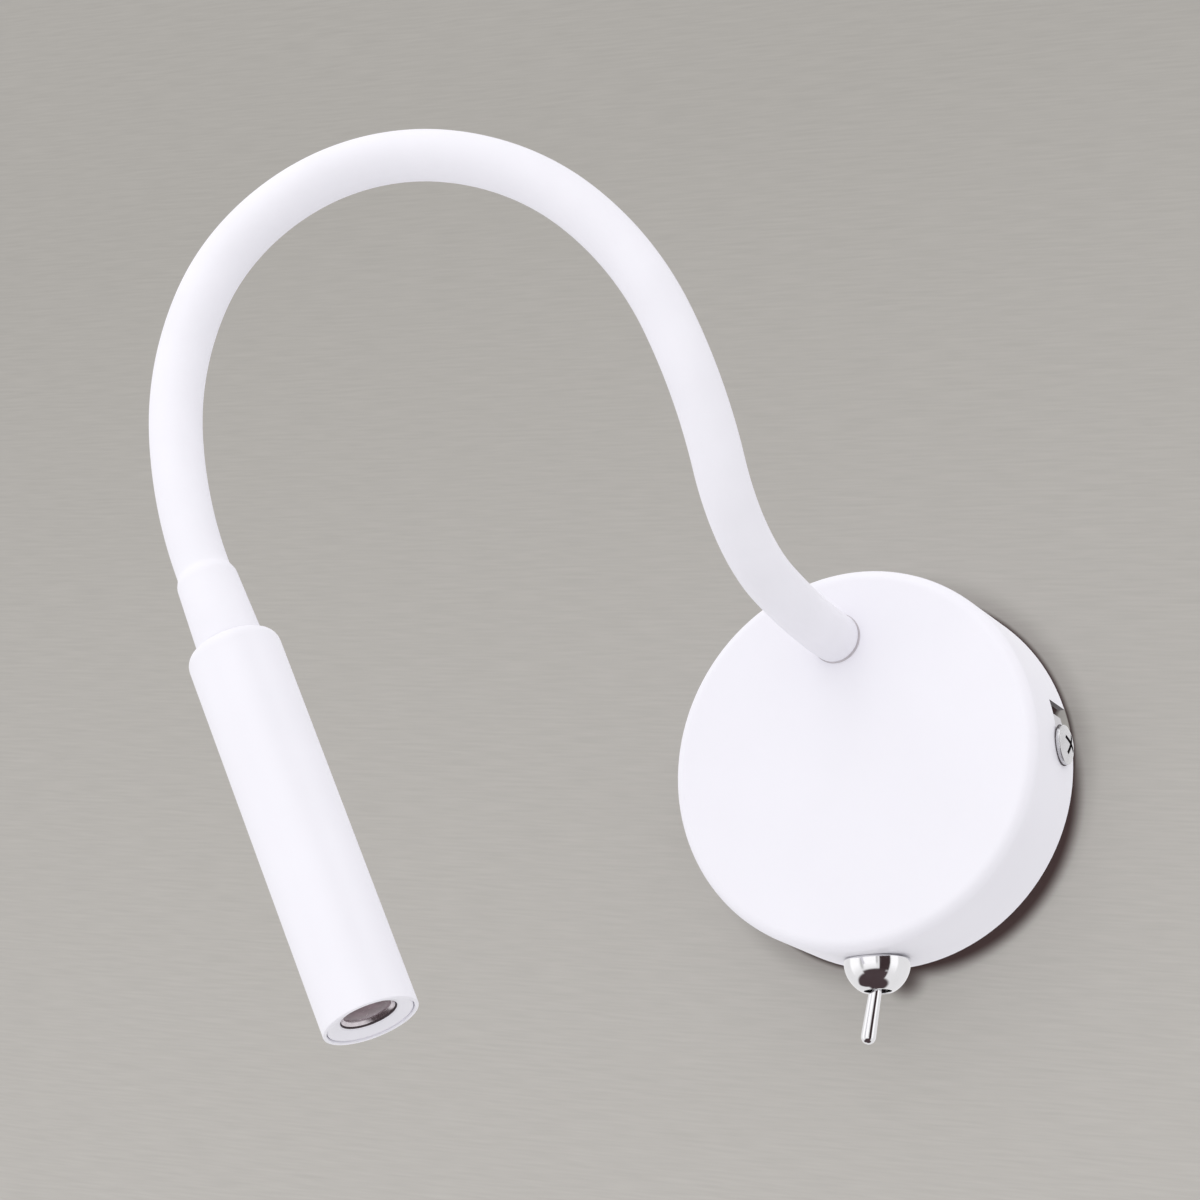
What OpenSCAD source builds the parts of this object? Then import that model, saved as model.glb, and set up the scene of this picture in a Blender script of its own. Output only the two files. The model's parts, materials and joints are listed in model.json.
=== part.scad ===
// Wall light with a bendable arm, a slim round head and a toggle switch under its canopy.
// X runs to the right, Y into the wall and Z up. The wall is the plane y = 0.
// The origin is the middle of the bracket's back, on the wall.

/* [Canopy] */
// Outer diameter of the canopy
canopy_d = 100; // [94:1:120]
// How far the canopy's face stands out from the wall
canopy_h = 28; // [27:0.5:36]
// Sheet thickness of the canopy
canopy_wall = 1.5; // [1:0.1:2]
// Radius of the canopy's front edge
canopy_round = 3; // [2:0.5:5]
// Gap between the canopy's rim and the wall
rim_gap = 0.5; // [0.2:0.1:1]

/* [Wall bracket] */
// Width of the bracket strap
strap_w = 22; // [16:1:22]
// Thickness of the bracket strap
strap_t = 2; // [1.5:0.1:3]
// Distance between the two wall screws
wall_screw_gap = 60; // [56:1:64]
// Width of the slots for the wall screws
wall_slot_w = 4.6; // [4:0.1:5.5]
// Length of the slots for the wall screws
wall_slot_l = 9; // [6:0.5:10]
// Bore of the grommet that the supply cable comes through
cable_bore = 7; // [5:0.5:9]
// Wall thickness of the grommet
grommet_wall = 1.5; // [1:0.1:2]
// Flange height of the grommet
grommet_flange = 1.5; // [1:0.1:2.5]
// Thread diameter of the earth screw
earth_d = 4; // [3:0.5:5]

/* [Canopy screws] */
// Thread diameter of the side screws that hold the canopy
side_screw_d = 5; // [4:0.5:6]
// Head diameter of the side screws
side_head_d = 10.2; // [8:0.2:11]
// Head height of the side screws
side_head_h = 2.4; // [1.5:0.1:3]
// Length of the side screws below the head
side_screw_l = 11; // [8:0.5:14]
// Height of the right side screw above the middle
side_screw_up = 1.5; // [0:0.5:4]
// How far the side screws stand out from the wall
side_screw_out = 8.5; // [7:0.5:10]
// Height of the slot's open mouth above the middle
slot_mouth_up = 9.5; // [8:0.5:11]
// Width of the slot's open mouth
slot_mouth_w = 7; // [6:0.5:8]

/* [Arm] */
// Length of each stretch of the bendable arm
link_len = 38; // [34:1:44]
// Outer diameter of the silicone sleeve
sleeve_d = 13; // [12:0.5:15]
// Wall thickness of the silicone sleeve
sleeve_wall = 1.2; // [0.8:0.1:1.6]
// Bore of the metal hose inside the sleeve
hose_bore = 5.2; // [4.6:0.2:6]
// How much wider than the sleeve the ball is that each stretch turns in
ball_margin = 1; // [0.6:0.1:2]
// Sideways place of the arm on the canopy
arm_x = -3; // [-10:1:5]
// Height of the arm on the canopy
arm_z = 32; // [28:0.5:34]
// Thread diameter of the nipple that holds the arm
nipple_d = 8; // [7:0.5:8.5]
// Length of the nipple inside the canopy
nipple_l = 10; // [9:0.5:12]
// Length of the nipple's collar inside the sleeve
collar_l = 4; // [3:0.5:6]

/* [Neck] */
// Length of the neck between the arm and the head
neck_l = 21.5; // [16:0.5:28]
// Length of the soft step where the sleeve climbs onto the ferrule
step_l = 3; // [2:0.5:5]
// Sleeve diameter just below the step
step_d = 14.8; // [14.6:0.1:16]
// Sleeve diameter where it meets the head
neck_d = 16; // [15.5:0.1:17]
// Depth of the hose's seat in the ferrule
hose_seat = 9; // [6:0.5:11]
// Length of the ferrule's thread inside the head
stub_l = 10; // [8:0.5:14]

/* [Head] */
// Outer diameter of the head
head_d = 22.5; // [22:0.1:28]
// Length of the head
head_l = 99.5; // [85:0.5:130]
// Wall thickness of the head's tube
head_wall = 0.9; // [0.8:0.1:1.6]
// Thickness of the head's closed end
head_top = 2.2; // [1.5:0.1:3]
// Radius of the head's shoulder
head_round = 3.2; // [1:0.1:3.2]
// Length of the heat sink
sink_l = 28; // [18:1:40]
// Thickness of the lamp's board
board_t = 1.6; // [1:0.1:2]
// Width of the light source
chip_w = 3.5; // [2:0.1:4.5]
// Height of the lens, from its back to its flange
lens_h = 7; // [6:0.5:10]
// Diameter of the opening in the bezel
bezel_bore = 13.4; // [11:0.2:15]
// Thickness of the bezel at its rim
bezel_t = 2.1; // [1.9:0.1:3]
// Depth of the dish in the bezel
bezel_dish = 1; // [0.5:0.1:1.4]

/* [Switch] */
// How far the switch stands out from the wall
switch_out = 13.5; // [12:0.5:15]
// Thread diameter of the switch's bushing
bush_d = 10; // [9:0.5:11]
// Width of the switch's body
switch_w = 13; // [11:0.5:15]
// Height of the switch's body
switch_h = 13; // [10:0.5:14]
// Outer diameter of the dome nut
dome_d = 17; // [16.5:0.5:20]
// How far the dome nut stands below the canopy
dome_h = 8; // [7:0.2:8.2]
// How far the widest part of the dome nut lies below the canopy
dome_belly = 0.5; // [0.3:0.1:1]
// Diameter of the lever at its tip
lever_d = 3.8; // [3:0.1:4.8]
// Diameter of the lever at the dome
lever_neck_d = 3.1; // [2.5:0.1:3.6]
// Length of the lever from its pivot to its tip
lever_l = 17.2; // [14:0.2:22]
// Lean of the lever to either side
lever_lean = 11; // [8:1:15]

/* [Driver] */
// Length of the driver's case
driver_w = 44; // [36:1:50]
// Height of the driver's case
driver_h = 15; // [12:0.5:16]
// Depth of the driver's case
driver_d = 19; // [16:0.5:20]
// Wall thickness of the driver's case
driver_wall = 1.2; // [0.8:0.1:1.6]
// Thickness of the foam pad behind the driver
pad_t = 1; // [0.5:0.1:2]

/* [Hidden] */
$fn = 64;
// A cut's overrun past the face that it opens
over = 1;
// Running gap round threads and pins
thread_gap = 0.05;
// Gap between pieces that sit one inside the other
slip_gap = 0.2;
// Gap between one stretch's tip and the hollow end of the next
ball_gap = 0.3;
// How far a straight end reaches into the bent length before it, and how much thinner it is there
lap = 0.5;
lap_step = 0.1;

// Each stretch of the arm: the roll of its bend and the bend, in degrees, from the canopy to the head
arm_bends = [
    [4.5, 12.5],
    [-3, 51],
    [61.5, 20.5],
    [39, 25.5],
    [14.5, 33],
    [6.5, 41],
    [6.5, 40],
    [-9.5, 24],
    [7.5, 16]
];
last_link = len(arm_bends) - 1;

// Canopy and bracket
canopy_r = canopy_d / 2;
canopy_in_r = canopy_r - canopy_wall;
canopy_face_in = canopy_h - canopy_wall;
ear_r = canopy_in_r - ball_gap;
slot_play = 0.7;
slot_w = side_screw_d + 2 * slot_play;
slot_reach = 10;
grommet_r = cable_bore / 2 + grommet_wall;
grommet_flange_r = grommet_r + grommet_wall;
earth_x = -18;
recess_reach = 0.55;
recess_width = 0.42;

// Arm, from the outside in
sleeve_r = sleeve_d / 2;
sleeve_in_r = sleeve_r - sleeve_wall;
hose_r = sleeve_in_r - slip_gap;
hose_in_r = hose_bore / 2;
lead_r = hose_in_r - ball_gap;
ball_r = sleeve_r + ball_margin;
nipple_r = nipple_d / 2;
washer_t = 1;
nut_h = 4;
nut_across = nipple_d + 5;
nut_r = nut_across / sqrt(3);

// Lead inside the canopy, from the nipple to the driver
lead_bend_r = 7;
lead_slant = 15;

// Neck and ferrule, measured from the head's top towards the arm
ferrule_top = neck_l - step_l - slip_gap;
hose_stop = ferrule_top - hose_seat;

// Head, measured from its top towards its open end
head_r = head_d / 2;
head_in_r = head_r - head_wall;
inner_r = head_in_r - slip_gap;
rim_edge = 0.3;
bezel_drop = 0.4;
bezel_out = head_l - bezel_drop;
bezel_in = bezel_out - bezel_t;
flange_t = 1;
lens_seat = bezel_in - flange_t - slip_gap / 2;
holder_wall = 1.1;
holder_in_r = inner_r - holder_wall;
lens_flange_r = holder_in_r + holder_wall / 2;
lens_front_r = bezel_bore / 2 - slip_gap;
lens_back_r = chip_w;
lens_crown = 0.7;
lens_rise = 0.5;
lens_back = lens_seat - lens_h;
chip_h = 0.8;
board_out = lens_back - chip_h - slip_gap;
board_in = board_out - board_t;
sink_in = board_in - sink_l;
board_screw_d = 2;
board_screw_r = inner_r - holder_wall - board_screw_d;
board_screw_l = 6;

// Switch, measured in world heights
switch_nut_h = 1.8;
switch_nut_r = (bush_d + 4) / sqrt(3);
switch_nut_low = thread_gap - sqrt(pow(canopy_in_r, 2) - pow(switch_nut_r, 2));
switch_low = switch_nut_low + switch_nut_h + thread_gap;
switch_top = switch_low + switch_h;
bush_bore = bush_d - 4.2;
bush_low = 2 - canopy_r - dome_h;
pivot_z = 3.7 - canopy_r - dome_h;
pivot_r = bush_bore / 2 - ball_gap;
lever_tail = 5;
dome_r = dome_d / 2;
dome_hole_r = lever_neck_d / 2 + 2;
tab_l = 3.5;
tab_w = 3;
tab_t = 0.8;
tab_gap = 6;

// Driver and terminal block
wire_r = 0.8;
wire_l = 2;
driver_low = switch_top + tab_l + wire_l;
driver_top = driver_low + driver_h;
driver_front = canopy_face_in - pad_t;
driver_back = driver_front - driver_d;
board_edge = 0.4;
driver_board_t = 1.6;
driver_rib = 2.5;
driver_board_out = driver_back + driver_wall + 2.4;
terminal_w = 16;
terminal_h = 18;
terminal_d = 11;
terminal_x = 17;
terminal_low = driver_top + wire_l;
terminal_mid = terminal_low + terminal_h / 2;
pole_gap = 8;
pole_out = 6;
pole_screw_r = 1.5;
peg_r = 1.5;

function shift(v) = [[1, 0, 0, v.x], [0, 1, 0, v.y], [0, 0, 1, v.z], [0, 0, 0, 1]];
function roll_turn(a) = [[cos(a), -sin(a), 0, 0], [sin(a), cos(a), 0, 0], [0, 0, 1, 0], [0, 0, 0, 1]];
function bend_turn(a) = [[cos(a), 0, sin(a), 0], [0, 1, 0, 0], [-sin(a), 0, cos(a), 0], [0, 0, 0, 1]];
function bend_r(a) = link_len * 180 / (PI * a);
function along_arc(a) = shift([bend_r(a), 0, 0]) * bend_turn(a) * shift([-bend_r(a), 0, 0]);

// Frame where the arm leaves the canopy: its z axis points out of the wall, its x axis up
arm_root = [[0, -1, 0, arm_x], [0, 0, -1, -canopy_h], [1, 0, 0, arm_z], [0, 0, 0, 1]];
function arm_station(i) = i == 0 ? arm_root : link_frame(i - 1) * along_arc(arm_bends[i - 1][1]);
function link_frame(i) = arm_station(i) * roll_turn(arm_bends[i][0]);
head_frame = arm_station(last_link + 1) * shift([0, 0, neck_l]);

// Turns a shape so that its z axis points out of the wall and its y axis up
module from_wall() {
    rotate([90, 0, 0]) children();
}

// Half outline of a cup with a rounded front edge
module cup_outline(r, h, edge) {
    square([r, h - edge]);
    square([r - edge, h]);
    translate([r - edge, h - edge]) circle(edge);
}

// A round bar or tube along one stretch of the arm, from one length along it to another
module bent_tube(i, r, bore_r, from, to) {
    bend = arm_bends[i][1];
    per_mm = bend / link_len;
    lay_down = [[-1, 0, 0, bend_r(bend)], [0, 0, 1, 0], [0, 1, 0, 0], [0, 0, 0, 1]];
    multmatrix(lay_down)
        rotate([0, 0, from * per_mm]) rotate_extrude(angle = (to - from) * per_mm)
            translate([bend_r(bend), 0])
                difference() {
                    circle(r);
                    if (bore_r > 0) circle(bore_r);
                }
}

// A straight tube, or a bar where its bore is 0
module pipe(r, bore_r, l) {
    difference() {
        cylinder(r = r, h = l);
        if (bore_r > 0) translate([0, 0, -over]) cylinder(r = bore_r, h = l + 2 * over);
    }
}

// One stretch of the sleeve, the hose or the lead, with what else the children add to it.
// Its tip and the hollow start of the next lie on either side of a ball round the pivot.
module arm_stretch(i, r, bore_r) {
    start = i > 0 ? sqrt(pow(ball_r + ball_gap, 2) - pow(r, 2)) : 0;
    tip = i < last_link ? sqrt(pow(ball_r, 2) - pow(r, 2)) - slip_gap : 0;
    multmatrix(link_frame(i))
        difference() {
            bent_tube(i, r, bore_r, start, link_len + tip);
            if (i > 0) sphere(ball_r + ball_gap);
        }
    children();
}

// A cross recess in the top of a screw, cut down from the top
module cross_recess(screw_r, depth) {
    reach = screw_r * recess_reach;
    width = reach * recess_width;
    for (turn = [45, 135]) {
        rotate([0, 0, turn])
            translate([-reach, -width / 2, -depth]) cube([2 * reach, width, depth + over]);
    }
}

// A pan-head screw with its head's seat at z = 0 and its shank below
module pan_screw(d, head_d, head_h, l) {
    head_r = head_d / 2;
    crown = head_h / 2;
    crown_r = (pow(head_r, 2) + pow(crown, 2)) / (2 * crown);
    difference() {
        intersection() {
            cylinder(r = head_r, h = head_h);
            translate([0, 0, head_h - crown_r]) sphere(crown_r);
        }
        translate([0, 0, head_h]) cross_recess(head_r, crown);
    }
    translate([0, 0, -l]) cylinder(r = d / 2 - thread_gap, h = l);
}

// A hex nut with its bore along z
module hex_nut(r, bore_r, h) {
    difference() {
        cylinder(r = r, h = h, $fn = 6);
        translate([0, 0, -over]) cylinder(r = bore_r, h = h + 2 * over);
    }
}

// The L-shaped slot that drops over a side screw and then turns under its head
module screw_slot() {
    translate([canopy_r - slot_reach, slot_mouth_up - slot_mouth_w / 2, -over])
        cube([2 * slot_reach, slot_mouth_w, side_screw_out + slot_w / 2 + over]);
    translate([canopy_r - slot_reach, side_screw_up, side_screw_out - slot_w / 2])
        cube([2 * slot_reach, slot_mouth_up - side_screw_up, slot_w]);
    translate([canopy_r - slot_reach, side_screw_up, side_screw_out])
        rotate([0, 90, 0]) cylinder(r = slot_w / 2, h = 2 * slot_reach);
}

module canopy() {
    color("white") from_wall() difference() {
        translate([0, 0, rim_gap])
            rotate_extrude() cup_outline(canopy_r, canopy_h - rim_gap, canopy_round);
        translate([0, 0, rim_gap - over])
            rotate_extrude()
                cup_outline(canopy_in_r, canopy_face_in - rim_gap + over,
                    max(canopy_round - canopy_wall, 0.2));
        translate([arm_x, arm_z, canopy_face_in - over])
            cylinder(r = nipple_r + thread_gap, h = canopy_wall + 2 * over);
        translate([0, -canopy_r - over, switch_out])
            rotate([-90, 0, 0]) cylinder(r = bush_d / 2 + slip_gap, h = slot_reach);
        for (side = [0, 180]) rotate([0, 0, side]) screw_slot();
    }
}

module wall_bracket() {
    color("silver") from_wall() difference() {
        union() {
            intersection() {
                translate([-ear_r, -strap_w / 2, 0]) cube([2 * ear_r, strap_w, strap_t]);
                cylinder(r = ear_r, h = strap_t);
            }
            for (side = [0, 180]) intersection() {
                rotate([0, 0, side]) translate([ear_r / 2, 0, 0]) {
                    translate([0, -strap_w / 2, 0]) cube([ear_r, strap_w, side_screw_out]);
                    translate([0, 0, side_screw_out]) rotate([0, 90, 0]) cylinder(r = strap_w / 2, h = ear_r);
                }
                pipe(ear_r, ear_r - strap_t, side_screw_out + strap_w);
            }
        }
        for (side = [0, 180]) {
            rotate([0, 0, side]) translate([ear_r / 2, side_screw_up, side_screw_out])
                rotate([0, 90, 0]) cylinder(r = side_screw_d / 2, h = ear_r);
            rotate([0, 0, side]) translate([wall_screw_gap / 2, 0, -over]) {
                translate([-(wall_slot_l - wall_slot_w) / 2, -wall_slot_w / 2, 0])
                    cube([wall_slot_l - wall_slot_w, wall_slot_w, strap_t + 2 * over]);
                for (end = [-1, 1]) {
                    translate([end * (wall_slot_l - wall_slot_w) / 2, 0, 0])
                        cylinder(r = wall_slot_w / 2, h = strap_t + 2 * over);
                }
            }
        }
        translate([0, 0, -over]) cylinder(r = grommet_r + thread_gap, h = strap_t + 2 * over);
        translate([earth_x, 0, -over]) cylinder(r = earth_d / 2, h = strap_t + 2 * over);
        translate([terminal_x, terminal_mid, -over])
            cylinder(r = peg_r + thread_gap, h = strap_t + 2 * over);
    }
}

module cable_grommet() {
    color("dimgray") from_wall() difference() {
        union() {
            cylinder(r = grommet_r, h = strap_t);
            translate([0, 0, strap_t]) cylinder(r = grommet_flange_r, h = grommet_flange);
        }
        translate([0, 0, -over]) cylinder(r = cable_bore / 2, h = strap_t + grommet_flange + 2 * over);
    }
}

module canopy_screws() {
    color("silver") from_wall() {
        for (side = [0, 180]) {
            rotate([0, 0, side])
                translate([canopy_r + thread_gap, side_screw_up, side_screw_out])
                    rotate([0, 90, 0]) pan_screw(side_screw_d, side_head_d, side_head_h, side_screw_l);
        }
    }
}

module earth_screw() {
    color("goldenrod") from_wall()
        translate([earth_x, 0, strap_t])
            pan_screw(earth_d, 2 * earth_d, earth_d / 2, strap_t - slip_gap);
}

module terminal_block() {
    color("ivory") from_wall() difference() {
        union() {
            translate([terminal_x - terminal_w / 2, terminal_low, strap_t])
                cube([terminal_w, terminal_h, terminal_d]);
            translate([terminal_x, terminal_mid, slip_gap]) cylinder(r = peg_r, h = strap_t);
        }
        for (pole = [-0.5, 0.5]) {
            translate([terminal_x + pole * pole_gap, terminal_low - over, strap_t + pole_out])
                rotate([-90, 0, 0]) cylinder(r = wire_r + slip_gap, h = terminal_h + 2 * over);
            translate([terminal_x + pole * pole_gap, terminal_mid, strap_t + pole_out])
                cylinder(r = pole_screw_r + thread_gap, h = terminal_d);
        }
    }
}

module terminal_screws() {
    color("silver") from_wall() {
        for (pole = [-0.5, 0.5]) {
            translate([terminal_x + pole * pole_gap, terminal_mid, strap_t + pole_out + wire_r + slip_gap])
                difference() {
                    cylinder(r = pole_screw_r, h = terminal_d - pole_out - 2 * wire_r);
                    translate([0, 0, terminal_d - pole_out - 2 * wire_r])
                        cross_recess(pole_screw_r, pole_screw_r / 2);
                }
        }
    }
}

// Two short leads from the driver's top into the terminal block
module supply_leads() {
    color("sienna") from_wall() {
        for (pole = [-0.5, 0.5]) {
            translate([terminal_x + pole * pole_gap, driver_top, strap_t + pole_out])
                rotate([-90, 0, 0]) cylinder(r = wire_r, h = wire_l + terminal_h / 3);
        }
    }
}

module driver_case() {
    color("gainsboro") from_wall()
        translate([-driver_w / 2, driver_low, driver_back + driver_wall]) difference() {
            cube([driver_w, driver_h, driver_d - driver_wall]);
            translate([driver_wall, driver_wall, -over])
                cube([driver_w - 2 * driver_wall, driver_h - 2 * driver_wall,
                    driver_board_out + driver_board_t - driver_back - driver_wall + over]);
            translate([driver_wall + driver_rib, driver_wall, -over])
                cube([driver_w - 2 * (driver_wall + driver_rib), driver_h - 2 * driver_wall,
                    driver_d - 2 * driver_wall + over]);
        }
}

module driver_lid() {
    color("whitesmoke") from_wall()
        translate([-driver_w / 2, driver_low, driver_back]) {
            cube([driver_w, driver_h, driver_wall]);
            for (end = [0, 1]) {
                translate([driver_wall + slip_gap + end * (driver_w - 2 * (driver_wall + slip_gap) - driver_rib),
                        driver_wall + slip_gap, 0])
                    cube([driver_rib, driver_h - 2 * (driver_wall + slip_gap),
                        driver_board_out - driver_back - slip_gap]);
            }
        }
}

// The driver's circuit board with its transformer, capacitor and coil
module driver_board() {
    board_w = driver_w - 2 * (driver_wall + board_edge);
    board_h = driver_h - 2 * (driver_wall + board_edge);
    part_gap = 1;
    part_w = (board_w - 2 * driver_rib - 4 * part_gap) / 3;
    part_d = driver_d - driver_board_out + driver_back - driver_board_t - driver_wall - part_gap;
    color("seagreen") from_wall()
        translate([-board_w / 2, driver_low + driver_wall + board_edge, driver_board_out]) {
            cube([board_w, board_h, driver_board_t]);
            translate([driver_rib + part_gap, part_gap, driver_board_t])
                cube([part_w, board_h - 2 * part_gap, part_d]);
            translate([board_w / 2, board_h / 2, driver_board_t])
                cylinder(r = min(part_w, board_h) / 2 - part_gap, h = part_d);
            translate([board_w - driver_rib - part_gap - part_w, part_gap, driver_board_t])
                cube([part_w, board_h - 2 * part_gap, part_d / 2]);
        }
}

module driver_pad() {
    color("dimgray") from_wall()
        translate([-driver_w / 2 + driver_wall, driver_low + driver_wall, driver_front])
            cube([driver_w - 2 * driver_wall, driver_h - 2 * driver_wall, pad_t]);
}

// Places the switch's pieces on its upright axis
module on_switch() {
    translate([0, -switch_out, 0]) children();
}

module switch_body() {
    color("black") on_switch() difference() {
        translate([-switch_w / 2, -switch_w / 2, switch_low]) cube([switch_w, switch_w, switch_h]);
        translate([0, 0, switch_low - over])
            cylinder(r = bush_bore / 2, h = over + switch_h / 3);
    }
}

module switch_bushing() {
    color("silver") on_switch()
        translate([0, 0, bush_low]) pipe(bush_d / 2, bush_bore / 2, switch_low - bush_low);
}

module switch_nut() {
    color("silver") on_switch()
        translate([0, 0, switch_nut_low]) hex_nut(switch_nut_r, bush_d / 2 + thread_gap, switch_nut_h);
}

// The bowl-shaped nut that covers the bushing, with a flat rim under the round canopy
module switch_dome() {
    color("gainsboro") on_switch() difference() {
        intersection() {
            translate([0, 0, -canopy_r - dome_belly]) sphere(dome_r);
            translate([0, 0, -canopy_r - dome_h]) cylinder(r = dome_d, h = dome_h - thread_gap);
        }
        translate([0, 0, -canopy_r - dome_h - over]) cylinder(r = dome_hole_r, h = dome_h);
        translate([0, 0, bush_low - slip_gap]) cylinder(r = bush_d / 2 + thread_gap, h = canopy_r);
    }
}

module switch_tabs() {
    color("silver") on_switch() {
        for (side = [-0.5, 0.5]) {
            translate([side * tab_gap - tab_w / 2, -tab_t / 2, switch_top]) cube([tab_w, tab_t, tab_l]);
        }
    }
}

// Two short leads from the switch's tabs to the driver
module switch_leads() {
    color("black") on_switch() {
        for (side = [-0.5, 0.5]) {
            translate([side * tab_gap, 0, switch_top + tab_l]) cylinder(r = wire_r, h = wire_l);
        }
    }
}

// The lever with its pivot ball, leaning to the left
module switch_lever() {
    color("gainsboro") on_switch() translate([0, 0, pivot_z]) rotate([0, lever_lean, 0]) {
        sphere(pivot_r);
        cylinder(r = pivot_r / 2, h = lever_tail);
        translate([0, 0, lever_d / 2 - lever_l])
            cylinder(r1 = lever_d / 2, r2 = lever_neck_d / 2, h = lever_l - lever_d / 2);
        translate([0, 0, lever_d / 2 - lever_l]) sphere(lever_d / 2);
    }
}

// The threaded end piece of the hose, which goes through the canopy
module arm_nipple() {
    color("goldenrod") multmatrix(arm_root) {
        pipe(hose_r, hose_in_r, collar_l);
        translate([0, 0, -nipple_l]) pipe(nipple_r, hose_in_r, nipple_l);
    }
}

module arm_washer() {
    color("silver") multmatrix(arm_root)
        translate([0, 0, -canopy_wall - washer_t]) pipe(nut_r, nipple_r + thread_gap, washer_t);
}

module arm_nut() {
    color("goldenrod") multmatrix(arm_root)
        translate([0, 0, -canopy_wall - washer_t - nut_h]) hex_nut(nut_r, nipple_r + thread_gap, nut_h);
}

// The sleeve's last stretch widens over the ferrule and ends on the head
module sleeve_flare() {
    multmatrix(head_frame) rotate_extrude() polygon([
        [sleeve_in_r + lap_step, -neck_l - lap],
        [sleeve_r - 2 * lap_step, -neck_l - lap],
        [step_d / 2, step_l - neck_l],
        [neck_d / 2, -slip_gap / 2],
        [neck_d / 2 - sleeve_wall, -slip_gap / 2],
        [step_d / 2 - sleeve_wall, step_l - neck_l]
    ]);
}

module arm_sleeve(i) {
    color("white") difference() {
        arm_stretch(i, sleeve_r, sleeve_in_r) {
            if (i == last_link) sleeve_flare();
        }
        if (i == 0) multmatrix(arm_root) translate([0, 0, -over])
            cylinder(r = ball_r, h = over + slip_gap / 2);
    }
}

module arm_hose(i) {
    color("silver") difference() {
        arm_stretch(i, hose_r, hose_in_r) {
            if (i == last_link) {
                multmatrix(head_frame)
                    translate([0, 0, -neck_l - lap])
                        pipe(hose_r - lap_step, hose_in_r + lap_step, neck_l + lap - hose_stop);
            }
        }
        if (i == 0) multmatrix(arm_root) translate([0, 0, -over]) cylinder(r = ball_r, h = collar_l + over);
    }
}

// The lead from the nipple's inner end round to the driver's top
module lead_to_driver() {
    run = (arm_z - driver_top) / cos(lead_slant) - lead_bend_r - lead_r * tan(lead_slant) - slip_gap;
    multmatrix(arm_root) translate([0, 0, -nipple_l]) rotate([0, 0, -lead_slant]) {
        translate([-lead_bend_r, 0, 0]) rotate([90, 0, 0])
            rotate_extrude(angle = -90) translate([lead_bend_r, 0]) circle(lead_r);
        translate([lap - lead_bend_r, 0, -lead_bend_r])
            rotate([0, -90, 0]) cylinder(r = lead_r - lap_step, h = run + lap);
    }
}

module arm_lead(i) {
    color("whitesmoke") arm_stretch(i, lead_r, 0) {
        if (i == 0) {
            multmatrix(arm_root)
                translate([0, 0, -nipple_l - lap]) cylinder(r = lead_r - lap_step, h = nipple_l + 2 * lap);
            lead_to_driver();
        }
        if (i == last_link) {
            multmatrix(head_frame) translate([0, 0, -neck_l - lap])
                cylinder(r = lead_r - lap_step, h = neck_l + lap + board_in - slip_gap);
        }
    }
}

// The cone under the sleeve's end, with a seat for the hose and a thread for the head
module head_ferrule() {
    color("silver") multmatrix(head_frame) difference() {
        rotate_extrude() polygon([
            [0, -ferrule_top],
            [step_d / 2 - sleeve_wall - slip_gap, -ferrule_top],
            [neck_d / 2 - sleeve_wall - slip_gap, 0],
            [nipple_r, 0],
            [nipple_r, stub_l],
            [0, stub_l]
        ]);
        translate([0, 0, -ferrule_top - over]) cylinder(r = hose_r + thread_gap, h = hose_seat + over);
        translate([0, 0, -ferrule_top]) cylinder(r = hose_in_r, h = ferrule_top + stub_l + over);
    }
}

module ferrule_nut() {
    color("goldenrod") multmatrix(head_frame)
        translate([0, 0, head_top]) hex_nut(nut_r, nipple_r + thread_gap, nut_h);
}

module head_housing() {
    color("white") multmatrix(head_frame) difference() {
        rotate_extrude() {
            translate([0, head_round]) square([head_r, head_l - head_round - rim_edge]);
            square([head_r - head_round, head_l]);
            square([head_r - rim_edge, head_l]);
        }
        rotate_extrude() difference() {
            square([head_r + over, head_round]);
            square([head_r - head_round, head_round]);
            translate([head_r - head_round, head_round]) circle(head_round);
        }
        translate([0, 0, head_top]) cylinder(r = head_in_r, h = head_l);
        translate([0, 0, -over]) cylinder(r = nipple_r + thread_gap, h = head_top + 2 * over);
    }
}

// The finned slug behind the lamp's board
module heat_sink() {
    fin_count = 5;
    fin_pitch = sink_l / (2 * fin_count + 1);
    fin_root_r = inner_r * 0.7;
    color("lightgray") multmatrix(head_frame) difference() {
        translate([0, 0, sink_in]) cylinder(r = inner_r, h = sink_l);
        for (fin = [0 : fin_count - 1]) {
            translate([0, 0, sink_in + (2 * fin + 0.5) * fin_pitch]) pipe(head_r, fin_root_r, fin_pitch);
        }
        translate([0, 0, sink_in - over]) cylinder(r = hose_in_r, h = sink_l + 2 * over);
        for (side = [-1, 1]) {
            translate([side * board_screw_r, 0, board_in - board_screw_l - slip_gap])
                cylinder(r = board_screw_d / 2, h = board_screw_l + over);
        }
    }
}

module led_board() {
    color("whitesmoke") multmatrix(head_frame) difference() {
        translate([0, 0, board_in]) cylinder(r = inner_r, h = board_t);
        for (side = [-1, 1]) {
            translate([side * board_screw_r, 0, board_in - over])
                cylinder(r = board_screw_d / 2, h = board_t + 2 * over);
        }
    }
}

module led_chip() {
    color("gold") multmatrix(head_frame)
        translate([-chip_w / 2, -chip_w / 2, board_out]) cube([chip_w, chip_w, chip_h]);
}

module board_screws() {
    color("silver") multmatrix(head_frame) {
        for (side = [-1, 1]) {
            translate([side * board_screw_r, 0, board_out])
                pan_screw(board_screw_d, 1.6 * board_screw_d, board_screw_d / 2, board_screw_l);
        }
    }
}

module lens_holder() {
    color("whitesmoke") multmatrix(head_frame)
        translate([0, 0, board_out]) pipe(inner_r, holder_in_r, lens_seat - board_out);
}

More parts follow.
